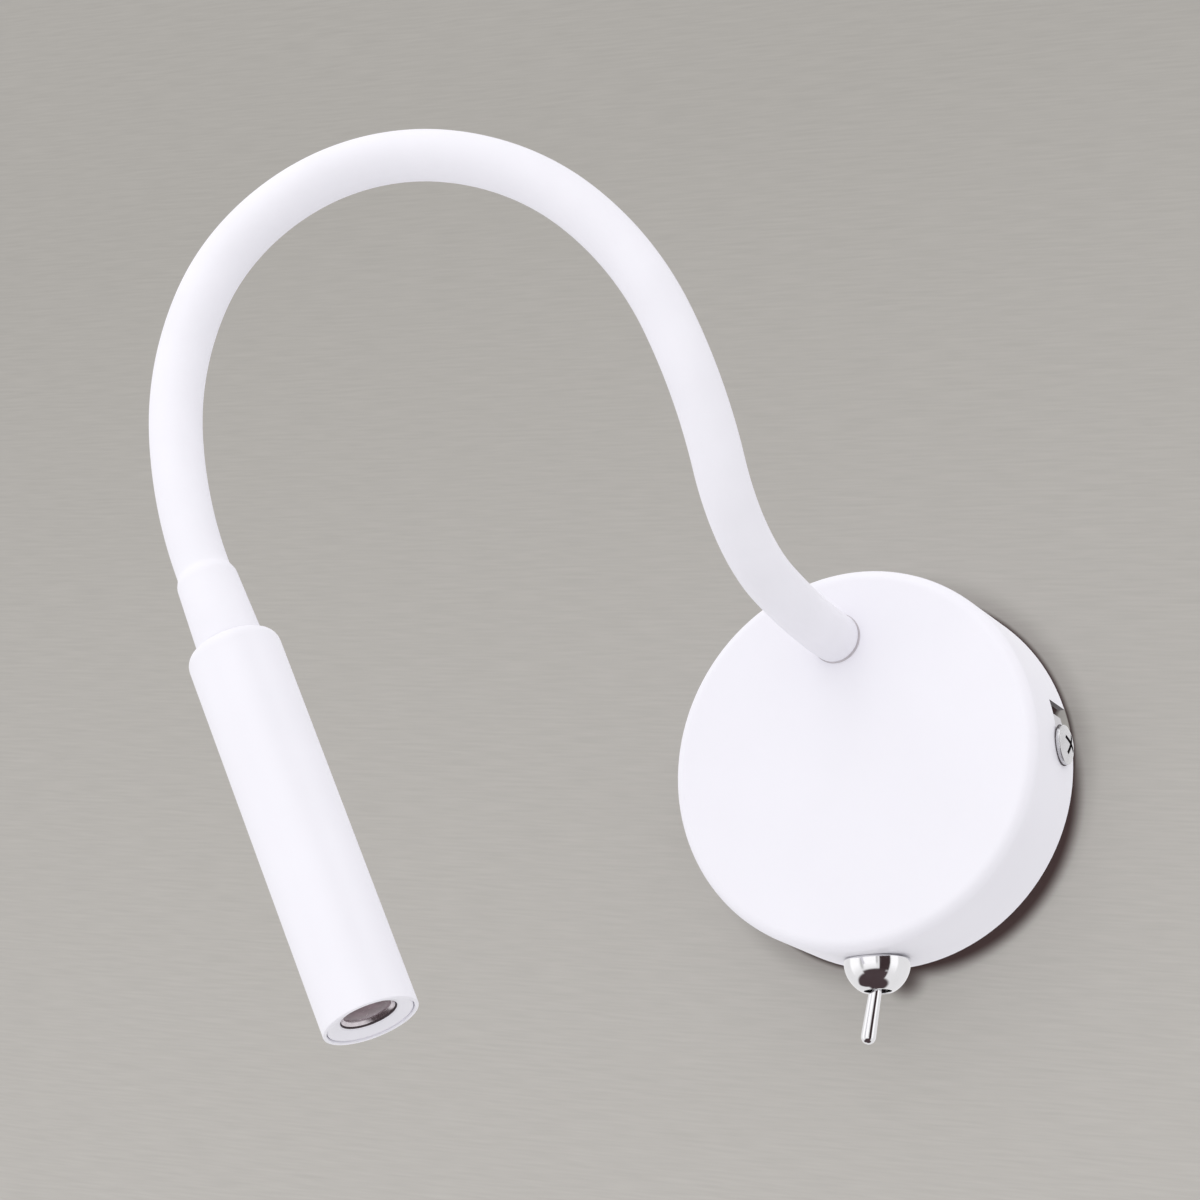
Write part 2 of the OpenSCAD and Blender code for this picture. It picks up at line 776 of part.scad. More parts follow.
// The lens: a cone that gathers the light, with a flange and a crowned face in the bezel's opening
module lens() {
    crown_r = (pow(lens_front_r, 2) + pow(lens_crown, 2)) / (2 * lens_crown);
    crown_top = lens_seat + flange_t + lens_rise + lens_crown;
    color("lightcyan", 0.6) multmatrix(head_frame) {
        translate([0, 0, lens_back])
            cylinder(r1 = lens_back_r, r2 = lens_front_r, h = lens_h);
        translate([0, 0, lens_seat]) cylinder(r = lens_flange_r, h = flange_t);
        intersection() {
            translate([0, 0, crown_top - crown_r]) sphere(crown_r);
            translate([0, 0, lens_seat]) cylinder(r = lens_front_r, h = crown_top - lens_seat);
        }
    }
}

// The ring that closes the head, dished towards the lens
module bezel_ring() {
    edge = 0.4;
    color("white") multmatrix(head_frame) rotate_extrude() polygon([
        [bezel_bore / 2, bezel_in],
        [inner_r, bezel_in],
        [inner_r, bezel_out - edge],
        [inner_r - edge, bezel_out],
        [inner_r - 2 * edge, bezel_out],
        [bezel_bore / 2 + edge / 2, bezel_out - bezel_dish],
        [bezel_bore / 2, bezel_out - bezel_dish - edge / 2]
    ]);
}

canopy();
wall_bracket();
cable_grommet();
canopy_screws();
earth_screw();
terminal_block();
terminal_screws();
supply_leads();
driver_case();
driver_lid();
driver_board();
driver_pad();
switch_body();
switch_bushing();
switch_nut();
switch_dome();
switch_tabs();
switch_leads();
switch_lever();
arm_nipple();
arm_washer();
arm_nut();
for (i = [0 : last_link]) {
    arm_sleeve(i);
    arm_hose(i);
    arm_lead(i);
}
head_ferrule();
ferrule_nut();
head_housing();
heat_sink();
led_board();
led_chip();
board_screws();
lens_holder();
lens();
bezel_ring();
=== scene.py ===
"""Looks of a white wall light: a round canopy, a bendable sleeved arm, a slim head and a toggle switch."""

import json
import math

import bpy
import numpy as np
from mathutils import Matrix, Vector


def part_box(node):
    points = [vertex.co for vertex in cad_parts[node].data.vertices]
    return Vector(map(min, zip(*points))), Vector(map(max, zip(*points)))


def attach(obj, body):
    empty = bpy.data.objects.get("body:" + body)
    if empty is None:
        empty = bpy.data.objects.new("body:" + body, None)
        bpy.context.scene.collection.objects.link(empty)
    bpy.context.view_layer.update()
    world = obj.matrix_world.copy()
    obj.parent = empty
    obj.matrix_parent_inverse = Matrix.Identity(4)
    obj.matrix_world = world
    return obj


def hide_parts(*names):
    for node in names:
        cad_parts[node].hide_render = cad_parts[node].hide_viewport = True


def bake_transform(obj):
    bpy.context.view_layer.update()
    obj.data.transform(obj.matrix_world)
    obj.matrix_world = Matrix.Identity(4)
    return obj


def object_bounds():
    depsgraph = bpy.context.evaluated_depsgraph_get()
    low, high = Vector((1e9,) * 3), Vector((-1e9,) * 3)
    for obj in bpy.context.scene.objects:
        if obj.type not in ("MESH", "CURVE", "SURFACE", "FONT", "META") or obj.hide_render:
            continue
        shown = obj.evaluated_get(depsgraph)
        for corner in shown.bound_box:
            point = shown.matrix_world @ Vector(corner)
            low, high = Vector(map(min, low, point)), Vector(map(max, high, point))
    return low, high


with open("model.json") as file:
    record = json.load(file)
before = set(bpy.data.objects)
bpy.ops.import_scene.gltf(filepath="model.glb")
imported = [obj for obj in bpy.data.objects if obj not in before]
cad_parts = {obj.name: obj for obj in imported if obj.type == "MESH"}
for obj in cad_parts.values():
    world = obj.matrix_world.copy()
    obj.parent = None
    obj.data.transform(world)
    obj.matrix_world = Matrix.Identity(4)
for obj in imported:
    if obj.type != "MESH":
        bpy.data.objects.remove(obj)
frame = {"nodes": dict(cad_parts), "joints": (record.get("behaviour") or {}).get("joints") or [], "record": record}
cad_low, cad_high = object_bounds()
nodes = frame["nodes"]
joints = {j["name"]: j for j in frame["joints"]}
MM = 0.001


# Measures taken from the frame

def node_points(node):
    """A CAD node's vertices, each place once."""
    mesh = nodes[node].data
    co = np.zeros(len(mesh.vertices) * 3, np.float32)
    mesh.vertices.foreach_get("co", co)
    return np.unique(co.reshape(-1, 3).astype(float).round(6), axis=0)


def unit(v):
    """A vector's direction, with length 1."""
    return v / np.linalg.norm(v)


def along_and_across(points, origin, direction):
    """How far points lie along an axis, and how far from it."""
    offsets = points - origin
    along = offsets @ direction
    across = np.linalg.norm(offsets - along[:, None] * direction, axis=1)
    return along, across


def turned(node, origin, direction):
    """Length range and radius range of a turned CAD node, along the given axis."""
    along, across = along_and_across(node_points(node), origin, direction)
    return float(along.min()), float(along.max()), float(across.min()), float(across.max())


face_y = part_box("canopy")[0].y
canopy_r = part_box("canopy")[1].x
nipple_low, nipple_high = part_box("arm_nipple")
arm_start = np.array([(nipple_low.x + nipple_high.x) / 2, face_y, (nipple_low.z + nipple_high.z) / 2])
arm_out = np.array([0.0, -1.0, 0.0])
to_right = np.array([1.0, 0.0, 0.0])
sleeve_along, sleeve_across = along_and_across(node_points("arm_sleeve_1"), arm_start, arm_out)
SLEEVE_ROOT = 1 * MM
sleeve_r = float(sleeve_across[sleeve_along < SLEEVE_ROOT].max())

# The head's axis runs through the middles of the ferrule's nut and the bezel
nut_middle = node_points("ferrule_nut").mean(0)
bezel_middle = node_points("bezel_ring").mean(0)
head_axis = unit(bezel_middle - nut_middle)
head_along, head_across = along_and_across(node_points("head_housing"), nut_middle, head_axis)
head_top = nut_middle + head_axis * head_along.min()
head_l = float(np.ptp(head_along))
head_r = float(head_across.max())
head_in_r = float(head_across[head_along > head_along.mean()].min())


# Mesh helpers

SHARP_ANGLE, CUT_SHARP_ANGLE = math.radians(35), math.radians(30)
# A rounded corner takes up less than half of each line that meets in it
CORNER_PART, ON_AXIS = 0.49, 1e-7


def add_mesh(name, points, faces, normals=None):
    """A smooth-shaded mesh object, with its sharp edges marked by angle or with normals given per vertex."""
    mesh = bpy.data.meshes.new(name)
    mesh.from_pydata([tuple(p) for p in points], [], faces)
    mesh.validate()
    mesh.update()
    mesh.polygons.foreach_set("use_smooth", [True] * len(mesh.polygons))
    if normals is None:
        mesh.set_sharp_from_angle(angle=SHARP_ANGLE)
    else:
        mesh.normals_split_custom_set_from_vertices([tuple(n) for n in normals])
    obj = bpy.data.objects.new(name, mesh)
    bpy.context.scene.collection.objects.link(obj)
    return obj


def rounded(corners, steps=5):
    """A line through (r, z, radius) corners with each corner rounded by its radius."""
    line = []
    last = len(corners) - 1
    for i, (r, z, radius) in enumerate(corners):
        here = np.array([r, z])
        if radius <= 0 or i in (0, last):
            line.append(here)
            continue
        to_last = np.array(corners[i - 1][:2]) - here
        to_next = np.array(corners[i + 1][:2]) - here
        reach = min(np.linalg.norm(to_last), np.linalg.norm(to_next)) * CORNER_PART
        half = math.acos(max(-1, min(1, unit(to_last) @ unit(to_next)))) / 2
        cut = min(radius / math.tan(half), reach)
        start, end = here + unit(to_last) * cut, here + unit(to_next) * cut
        for t in np.linspace(0, 1, steps + 1):
            line.append((1 - t) ** 2 * start + 2 * t * (1 - t) * here + t ** 2 * end)
    return line


def lathe(name, line, placed, segments=128, closed=False):
    """A line of (r, z) points turned about the z axis of a placing matrix."""
    points, rings = [], []
    for r, z in line:
        if r < ON_AXIS:
            rings.append([len(points)] * segments)
            points.append(placed @ Vector((0, 0, z)))
            continue
        rings.append(list(range(len(points), len(points) + segments)))
        for k in range(segments):
            a = 2 * math.pi * k / segments
            points.append(placed @ Vector((r * math.cos(a), r * math.sin(a), z)))
    faces = []
    next_rings = rings[1:] + rings[:1] if closed else rings[1:]
    for low, high in zip(rings, next_rings):
        for k in range(segments):
            n = (k + 1) % segments
            corners = list(dict.fromkeys([low[k], low[n], high[n], high[k]]))
            if len(corners) > 2:
                faces.append(corners)
    return add_mesh(name, points, faces)


def thin_ring(name, inner_r, outer_r, low, high, edge, placed, segments=128):
    """A flat ring whose upper outer edge is rounded."""
    line = rounded([(inner_r, low, 0), (inner_r, high, 0), (outer_r, high, edge), (outer_r, low, 0)])
    return lathe(name, line, placed, segments=segments, closed=True)


def ring_faces(rings, count):
    """Quads between rings of count points each."""
    return [[i + p, i + (p + 1) % count, i + count + (p + 1) % count, i + count + p]
            for i in range(0, (rings - 1) * count, count) for p in range(count)]


def sweep(name, places, headings, side, section, scales=None):
    """A closed outline carried along a line, with capped ends. The scales widen or narrow it on its way."""
    points, count = [], len(section)
    for i, (place, heading) in enumerate(zip(places, headings)):
        side = unit(side - (side @ heading) * heading)
        up = np.cross(heading, side)
        scale = scales[i] if scales else 1.0
        points += [place + scale * (a * side + b * up) for a, b in section]
    last = (len(places) - 1) * count
    caps = [list(range(count))[::-1], list(range(last, last + count))]
    return add_mesh(name, points, ring_faces(len(places), count) + caps)


def axis_frame(origin, direction, side=(1, 0, 0)):
    """A matrix whose z axis is the direction and whose origin is the given point."""
    z = unit(np.array(direction, float))
    x = np.array(side, float)
    x = unit(x - (x @ z) * z)
    y = np.cross(z, x)
    placed = Matrix.Identity(4)
    for row in range(3):
        placed[row] = (x[row], y[row], z[row], origin[row])
    return placed


def cut_away(obj, cutter):
    """Cuts another mesh out of obj and removes it."""
    change = obj.modifiers.new("cut", "BOOLEAN")
    change.operation, change.solver, change.object = "DIFFERENCE", "EXACT", cutter
    bpy.context.view_layer.update()
    made = bpy.data.meshes.new_from_object(obj.evaluated_get(bpy.context.evaluated_depsgraph_get()))
    obj.modifiers.clear()
    obj.data = made
    bpy.data.objects.remove(cutter)
    made.polygons.foreach_set("use_smooth", [True] * len(made.polygons))
    made.set_sharp_from_angle(angle=CUT_SHARP_ANGLE)


# Shader helpers

def link_math(tree, operation, *values):
    """A math node of a tree, fed by sockets or numbers."""
    made = tree.nodes.new("ShaderNodeMath")
    made.operation = operation
    for slot, value in zip(made.inputs, values):
        if isinstance(value, (int, float)):
            slot.default_value = value
        else:
            tree.links.new(value, slot)
    return made.outputs[0]


def map_range(tree, value, source, target=(0.0, 1.0), interpolation="LINEAR"):
    """Maps a value from one range to another."""
    made = tree.nodes.new("ShaderNodeMapRange")
    made.interpolation_type = interpolation
    for slot, limit in zip(("From Min", "From Max", "To Min", "To Max"), (*source, *target)):
        made.inputs[slot].default_value = limit
    tree.links.new(value, made.inputs["Value"])
    return made.outputs["Result"]


def soft_step(tree, value, low, high):
    """0 below low and 1 above high, smooth between; low may be the larger."""
    return map_range(tree, value, (low, high), interpolation="SMOOTHSTEP")


def noise_value(tree, place, size, detail):
    """A noise over places, of the given fineness."""
    made = tree.nodes.new("ShaderNodeTexNoise")
    made.inputs["Scale"].default_value = size
    made.inputs["Detail"].default_value = detail
    tree.links.new(place, made.inputs["Vector"])
    return made.outputs["Fac"]


def mix_colour(tree, factor, first, second):
    """Runs from the first colour to the second with a factor. Each colour is a socket or a tuple."""
    made = tree.nodes.new("ShaderNodeMix")
    made.data_type = "RGBA"
    tree.links.new(factor, made.inputs["Factor"])
    for slot, colour in (("A", first), ("B", second)):
        if isinstance(colour, tuple):
            made.inputs[slot].default_value = (*colour, 1)
        else:
            tree.links.new(colour, made.inputs[slot])
    return made.outputs["Result"]


def mix_shader(tree, factor, first, second):
    """The second shader where the factor is 1, and the first where it is 0."""
    made = tree.nodes.new("ShaderNodeMixShader")
    for slot, source in enumerate((factor, first, second)):
        tree.links.new(source, made.inputs[slot])
    return made.outputs["Shader"]


# Materials

NOISE_RANGE, LEAST_ROUGH, ROUGH_FINER = (0.3, 0.7), 0.02, 2.5


def finish(name, colour, roughness, metallic=0.0, mottle=0.03, mottle_scale=60.0, rough_swing=0.08,
           grain=0.1, grain_scale=2500.0, grain_depth=0.00002, stretch=(1, 1, 1), **sockets):
    """A shader with a faint mottle in its colour, a swing in its roughness and a fine surface grain."""
    made = bpy.data.materials.new(name)
    made.use_nodes = True
    tree = made.node_tree
    shader = tree.nodes["Principled BSDF"]
    shader.inputs["Metallic"].default_value = metallic
    for socket, value in sockets.items():
        shader.inputs[socket.replace("_", " ")].default_value = value
    scale = tree.nodes.new("ShaderNodeMapping")
    scale.inputs["Scale"].default_value = stretch
    tree.links.new(tree.nodes.new("ShaderNodeTexCoord").outputs["Object"], scale.inputs["Vector"])
    place = scale.outputs["Vector"]

    ramp = tree.nodes.new("ShaderNodeValToRGB")
    dark, light = ramp.color_ramp.elements
    dark.position, light.position = NOISE_RANGE
    dark.color = (*[c * (1 - mottle) for c in colour], 1)
    light.color = (*[min(1, c * (1 + mottle)) for c in colour], 1)
    tree.links.new(noise_value(tree, place, mottle_scale, 4), ramp.inputs["Fac"])
    tree.links.new(ramp.outputs["Color"], shader.inputs["Base Color"])
    rough_range = (max(LEAST_ROUGH, roughness - rough_swing), min(1, roughness + rough_swing))
    rough_noise = noise_value(tree, place, mottle_scale * ROUGH_FINER, 3)
    tree.links.new(map_range(tree, rough_noise, NOISE_RANGE, rough_range), shader.inputs["Roughness"])
    bump = tree.nodes.new("ShaderNodeBump")
    bump.inputs["Strength"].default_value = grain
    bump.inputs["Distance"].default_value = grain_depth
    tree.links.new(noise_value(tree, place, grain_scale, 2), bump.inputs["Height"])
    tree.links.new(bump.outputs["Normal"], shader.inputs["Normal"])
    return made


WHITE = (0.88, 0.87, 0.922)
coat = finish("white_powder_coat", WHITE, 0.42, mottle=0.012, mottle_scale=25,
              grain=0.25, grain_scale=1800, grain_depth=0.00003, Specular_IOR_Level=0.3)
head_coat = finish("white_head_coat", WHITE, 0.38, mottle=0.012, mottle_scale=40,
                   grain=0.2, grain_scale=2200, grain_depth=0.00003, Specular_IOR_Level=0.4)
silicone = finish("white_silicone", (0.882, 0.872, 0.922), 0.62, mottle=0.015, mottle_scale=70,
                  rough_swing=0.1, grain=0.3, grain_scale=1400, grain_depth=0.00004, Specular_IOR_Level=0.3)
chrome = finish("chrome", (0.80, 0.80, 0.81), 0.07, metallic=1.0, mottle=0.015, mottle_scale=180,
                rough_swing=0.03, grain=0.04, grain_scale=900)
plated = finish("plated_steel", (0.66, 0.66, 0.67), 0.24, metallic=1.0, mottle=0.06, mottle_scale=400,
                rough_swing=0.08, grain=0.15, grain_scale=3000)
zinc = finish("zinc_sheet", (0.70, 0.69, 0.71), 0.45, metallic=0.55, mottle=0.10, mottle_scale=160,
              rough_swing=0.12, grain=0.2, grain_scale=1500, stretch=(0.15, 1, 1))
hose_steel = finish("hose_steel", (0.45, 0.45, 0.46), 0.4, metallic=1.0, mottle=0.1, mottle_scale=300)
brass = finish("brass", (0.66, 0.47, 0.20), 0.27, metallic=1.0, mottle=0.08, mottle_scale=300, grain=0.15)
bare_aluminium = finish("turned_aluminium", (0.68, 0.69, 0.70), 0.33, metallic=1.0, mottle=0.06,
                        mottle_scale=300, grain=0.2, grain_scale=2500)
white_plastic = finish("white_plastic", (0.78, 0.78, 0.76), 0.5, mottle=0.02, grain=0.3, grain_scale=1600)
black_plastic = finish("black_plastic", (0.018, 0.018, 0.019), 0.42, mottle=0.2, grain=0.3, grain_scale=1600)
lead_plastic = finish("lead_plastic", (0.74, 0.74, 0.73), 0.45, mottle=0.03, grain=0.2)
brown_wire = finish("brown_wire", (0.16, 0.07, 0.035), 0.4, mottle=0.08, grain=0.2)
black_wire = finish("black_wire", (0.02, 0.02, 0.02), 0.4, mottle=0.15, grain=0.2)
rubber = finish("grey_rubber", (0.06, 0.06, 0.062), 0.75, mottle=0.12, mottle_scale=200,
                grain=0.4, grain_scale=1200)
foam = finish("foam_tape", (0.08, 0.08, 0.082), 0.9, mottle=0.3, mottle_scale=900,
              grain=0.8, grain_scale=900, grain_depth=0.0002)
board_green = finish("circuit_board", (0.03, 0.16, 0.07), 0.35, mottle=0.2, mottle_scale=250, grain=0.3)
board_white = finish("lamp_board", (0.75, 0.75, 0.73), 0.4, mottle=0.05, mottle_scale=200)
phosphor = finish("phosphor", (0.80, 0.62, 0.12), 0.5, mottle=0.08, mottle_scale=900)
lens_dark = finish("lens_dark", (0.17, 0.118, 0.135), 0.22, mottle=0.22, mottle_scale=420, rough_swing=0.06,
                   grain=0.1, grain_scale=1500, Specular_IOR_Level=0.35)
lens_edge = finish("lens_edge", (0.66, 0.61, 0.64), 0.26, metallic=1.0, mottle=0.12, mottle_scale=700,
                   rough_swing=0.05, grain=0.05)
# Dark colour that paints the shadow in the gap between the lens and the bezel
gap_shadow_dark = finish("gap_shadow", (0.11, 0.085, 0.095), 0.5, mottle=0.2, mottle_scale=500)
# Dark colour of the rings that paint the shadow lines round the side screws' heads
screw_shadow_dark = finish("screw_shadow_line", (0.10, 0.085, 0.095), 0.7, mottle=0.15, mottle_scale=400)
# Near-black colour that paints the shade inside the screws' cross recesses
recess_dark = finish("recess_shade", (0.035, 0.027, 0.030), 0.5, metallic=0.6, mottle=0.2, mottle_scale=700)
# Grey of the ring that paints the shadow line where the sleeve meets the canopy
seam_shadow_grey = finish("seam_shadow_paint", (0.55, 0.52, 0.545), 0.8, mottle=0.1, mottle_scale=300)

# Where the end faces of the canopy's two slots lie, which stand point-symmetric to each other
SLOT_END, SLOT_DEEP, SLOT_OUT, EDGE_BAND = 13.0 * MM, 11.7 * MM, 44 * MM, 0.06 * MM
# Colour of the painted shade on the slots' end faces
SLOT_END_SHADE = (0.07, 0.055, 0.06)


def shade_slot_ends(material):
    """Paints shade on the end faces of the canopy's slots: they take a dark colour that stands for their shadow.
    """
    tree = material.node_tree
    base_colour = tree.nodes["Principled BSDF"].inputs["Base Color"]
    place = next(n for n in tree.nodes if n.type == "TEX_COORD")
    axes = tree.nodes.new("ShaderNodeSeparateXYZ")
    tree.links.new(place.outputs["Object"], axes.inputs["Vector"])
    x, y, z = axes.outputs
    turned_z = link_math(tree, "MULTIPLY", z, link_math(tree, "SIGN", x))
    from_end = link_math(tree, "ABSOLUTE", link_math(tree, "SUBTRACT", turned_z, SLOT_END))
    at_end = link_math(tree, "LESS_THAN", from_end, EDGE_BAND)
    at_side = link_math(tree, "GREATER_THAN", link_math(tree, "ABSOLUTE", x), SLOT_OUT)
    at_back = link_math(tree, "GREATER_THAN", y, -SLOT_DEEP)
    # Painted shade: the end faces near the canopy's back take the dark colour
    slot_end_shade = link_math(tree, "MULTIPLY", link_math(tree, "MULTIPLY", at_end, at_side), at_back)
    tree.links.new(mix_colour(tree, slot_end_shade, base_colour.links[0].from_socket, SLOT_END_SHADE), base_colour)


shade_slot_ends(coat)

node_finish = {
    "canopy": coat, "wall_bracket": zinc, "cable_grommet": rubber, "canopy_screws": plated,
    "earth_screw": brass, "terminal_block": white_plastic, "terminal_screws": plated,
    "supply_leads": brown_wire, "driver_case": white_plastic, "driver_lid": white_plastic,
    "driver_board": board_green, "driver_pad": foam, "switch_body": black_plastic, "switch_bushing": plated,
    "switch_nut": plated, "switch_dome": chrome, "switch_tabs": plated, "switch_leads": black_wire,
    "switch_lever": chrome, "arm_nipple": brass, "arm_washer": plated, "arm_nut": brass,
    "head_ferrule": plated, "ferrule_nut": brass, "head_housing": head_coat, "heat_sink": bare_aluminium,
    "led_board": board_white, "led_chip": phosphor, "board_screws": plated, "lens_holder": white_plastic,
    "lens": lens_dark, "bezel_ring": head_coat}
family_finish = {"arm_sleeve": silicone, "arm_hose": hose_steel, "arm_lead": lead_plastic}
for name, obj in nodes.items():
    obj.data.materials.clear()
    obj.data.materials.append(node_finish.get(name) or family_finish[name.rsplit("_", 1)[0]])


def dress(obj, material, body, slot, *stood_for):
    """Gives a new piece its material and its body, and hides the CAD nodes that it stands for. The slot is not
    used.
    """
    obj.data.materials.clear()
    obj.data.materials.append(material)
    if body:
        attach(obj, body)
    if stood_for:
        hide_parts(*stood_for)


# The arm's sleeve: one soft skin in eight pieces, each bending over one hinge

ARM_JOINTS = ["arm_lift", "arm_swing", "arm_curl", "arm_sway", "arm_curl_upper", "arm_sway_upper",
              "neck_tilt", "neck_turn"]
RING_STEP, NECK_RING_STEP, RING_POINTS = 0.9 * MM, 0.4 * MM, 72
STEP_L, STEP_R, NECK_R = 3.2 * MM, 7.4 * MM, 8.0 * MM
SLEEVE_LIP, SEAT_GAP = 0.5 * MM, 0.15 * MM
# The skin's shading takes no slope as steeper than this
STEEPEST = 3


def arc_line(start, heading, end, step):
    """Points and headings along the circular arc that leaves start along heading and bends to reach end."""
    chord = end - start
    ahead = heading @ unit(chord)
    half = math.acos(ahead)
    side = unit(unit(chord) - ahead * heading)
    radius = np.linalg.norm(chord) / (2 * math.sin(half))
    count = max(2, round(2 * half * radius / step))
    arc, arc_headings = [], []
    for t in np.linspace(0, 2 * half, count + 1):
        arc.append(start + radius * (math.sin(t) * heading + (1 - math.cos(t)) * side))
        arc_headings.append(math.cos(t) * heading + math.sin(t) * side)
    return arc, arc_headings


places, headings, marks = [arm_start], [arm_out], []


def carry_on(end):
    """Carries the arm's line on to a point along an arc, and marks the place halfway along it."""
    arc, arc_headings = arc_line(places[-1], headings[-1], end, RING_STEP)
    marks.append((2 * (len(places) - 1) + len(arc) - 1) // 2)
    places.extend(arc[1:])
    headings.extend(arc_headings[1:])


for joint in ARM_JOINTS:
    carry_on(np.array(joints[joint]["pos_m"]))
# The last arc ends on the head's axis, as far from where the two lines meet as it starts
lines = np.array([headings[-1], -head_axis]).T
to_meeting = np.linalg.lstsq(lines, head_top - places[-1], rcond=None)[0][0]
neck_start = places[-1] + headings[-1] * to_meeting + head_axis * to_meeting
carry_on(neck_start)
neck_l = float((head_top - neck_start) @ head_axis)
neck_from = len(places) - 1
neck_end = neck_l - SEAT_GAP
for d in np.arange(NECK_RING_STEP, neck_end, NECK_RING_STEP).tolist() + [neck_end]:
    places.append(neck_start + head_axis * d)
    headings.append(head_axis)
places, headings = np.array(places), np.array(headings)
run = np.concatenate([[0], np.cumsum(np.linalg.norm(np.diff(places, axis=0), axis=1))])


def lip_cut(from_end):
    """How far a rounded lip draws the skin in, near one of its ends."""
    return SLEEVE_LIP - math.sqrt(SLEEVE_LIP ** 2 - (SLEEVE_LIP - from_end) ** 2)


def sleeve_radius(s):
    """The skin's radius along the arm: rounded lip, plain tube, soft step and cone."""
    if s < SLEEVE_LIP:
        return sleeve_r - lip_cut(s)
    d = s - run[neck_from]
    if d <= 0:
        return sleeve_r
    if d < STEP_L:
        t = d / STEP_L
        return sleeve_r + (STEP_R - sleeve_r) * t * t * (3 - 2 * t)
    cone = STEP_R + (NECK_R - STEP_R) * (d - STEP_L) / (neck_l - STEP_L)
    left = run[-1] - s
    return cone if left > SLEEVE_LIP else cone - lip_cut(left)


radii = np.array([sleeve_radius(s) for s in run])
slopes = np.clip(np.gradient(radii, run), -STEEPEST, STEEPEST)
sides = [np.array([0.0, 0.0, 1.0])]
for heading in headings[1:]:
    sides.append(unit(sides[-1] - (sides[-1] @ heading) * heading))
sides = np.array(sides)
downs = np.cross(headings, sides)
angles = np.linspace(0, 2 * math.pi, RING_POINTS, endpoint=False)
spokes = np.cos(angles)[None, :, None] * sides[:, None] + np.sin(angles)[None, :, None] * downs[:, None]
ring_points = places[:, None] + radii[:, None, None] * spokes
ring_normals = spokes - slopes[:, None, None] * headings[:, None]
ring_normals /= np.linalg.norm(ring_normals, axis=2, keepdims=True)

# Each piece runs between the middles of two arcs, and the end pieces run to the arm's ends
last_skin = len(ARM_JOINTS) - 1
cuts = [0] + marks[1:-1] + [len(places) - 1]
for k in range(len(ARM_JOINTS)):
    rings = slice(cuts[k], cuts[k + 1] + 1)
    count = cuts[k + 1] - cuts[k] + 1
    skin = add_mesh("sleeve_skin_%d" % (k + 1), ring_points[rings].reshape(-1, 3),
                    ring_faces(count, RING_POINTS), normals=ring_normals[rings].reshape(-1, 3))
    stood_for = ["arm_sleeve_%d" % (k + 1)] + (["arm_sleeve_9"] if k == last_skin else [])
    dress(skin, silicone, None, "white_silicone", *stood_for)
    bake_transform(skin)

# A thin grey ring where the sleeve meets the canopy paints the shadow line of the seam there
SEAM_SHADOW_OUT, SEAM_SHADOW_IN, SEAM_SHADOW_LOW, SEAM_SHADOW_HIGH, SEAM_SHADOW_EDGE = 0.20 * MM, 1.2 * MM, 0.02 * MM, 0.12 * MM, 0.05 * MM
seam_shadow_ring = thin_ring("sleeve_seam_shadow", sleeve_r - SEAM_SHADOW_IN, sleeve_r + SEAM_SHADOW_OUT, SEAM_SHADOW_LOW, SEAM_SHADOW_HIGH, SEAM_SHADOW_EDGE,
                 axis_frame(arm_start, arm_out))
dress(seam_shadow_ring, seam_shadow_grey, "base", "grey_rubber")


# The head: housing, bezel and lens, turned about the head's axis

head_frame = axis_frame(head_top, head_axis)
SHOULDER, TOP_WALL, FERRULE_WALL = 3.2 * MM, 2.2 * MM, 1.5 * MM
hole_r = turned("head_ferrule", head_top, head_axis)[2] + FERRULE_WALL
housing = lathe("head_shell", rounded([
    (hole_r, TOP_WALL, 0), (hole_r, 0, 0), (head_r, 0, SHOULDER), (head_r, head_l, 0.3 * MM),
    (head_in_r, head_l, 0.2 * MM), (head_in_r, TOP_WALL, 0)], steps=10), head_frame, closed=True)
dress(housing, head_coat, "head", "white_head", "head_housing")


def face_spots(obj):
    """How far the middles of a piece's faces lie along the head's axis, and how far from it."""
    return along_and_across(np.array([face.center for face in obj.data.polygons]), head_top, head_axis)


bezel_from, bezel_to, bezel_bore, bezel_r = turned("bezel_ring", head_top, head_axis)
DISH, FLAT_RIM, BORE_LIP, BORE_BAND = 1.0 * MM, 0.8 * MM, 0.3 * MM, 0.03 * MM
dish_low = bezel_to - DISH
bezel = lathe("bezel_dish", rounded([
    (bezel_bore, bezel_from, 0), (bezel_r, bezel_from, 0.1 * MM), (bezel_r, bezel_to, 0.3 * MM),
    (bezel_r - FLAT_RIM, bezel_to, 0.4 * MM), (bezel_bore + BORE_LIP, dish_low, 0.25 * MM),
    (bezel_bore, dish_low - BORE_LIP, 0.15 * MM)], steps=6), head_frame, closed=True)
dress(bezel, head_coat, "head", "white_head", "bezel_ring")
# The bezel's faces at its bore are painted dark: painted shadow of the gap round the lens
bezel.data.materials.append(gap_shadow_dark)
for face, across in zip(bezel.data.polygons, face_spots(bezel)[1]):
    if across < bezel_bore + BORE_BAND:
        face.material_index = 1

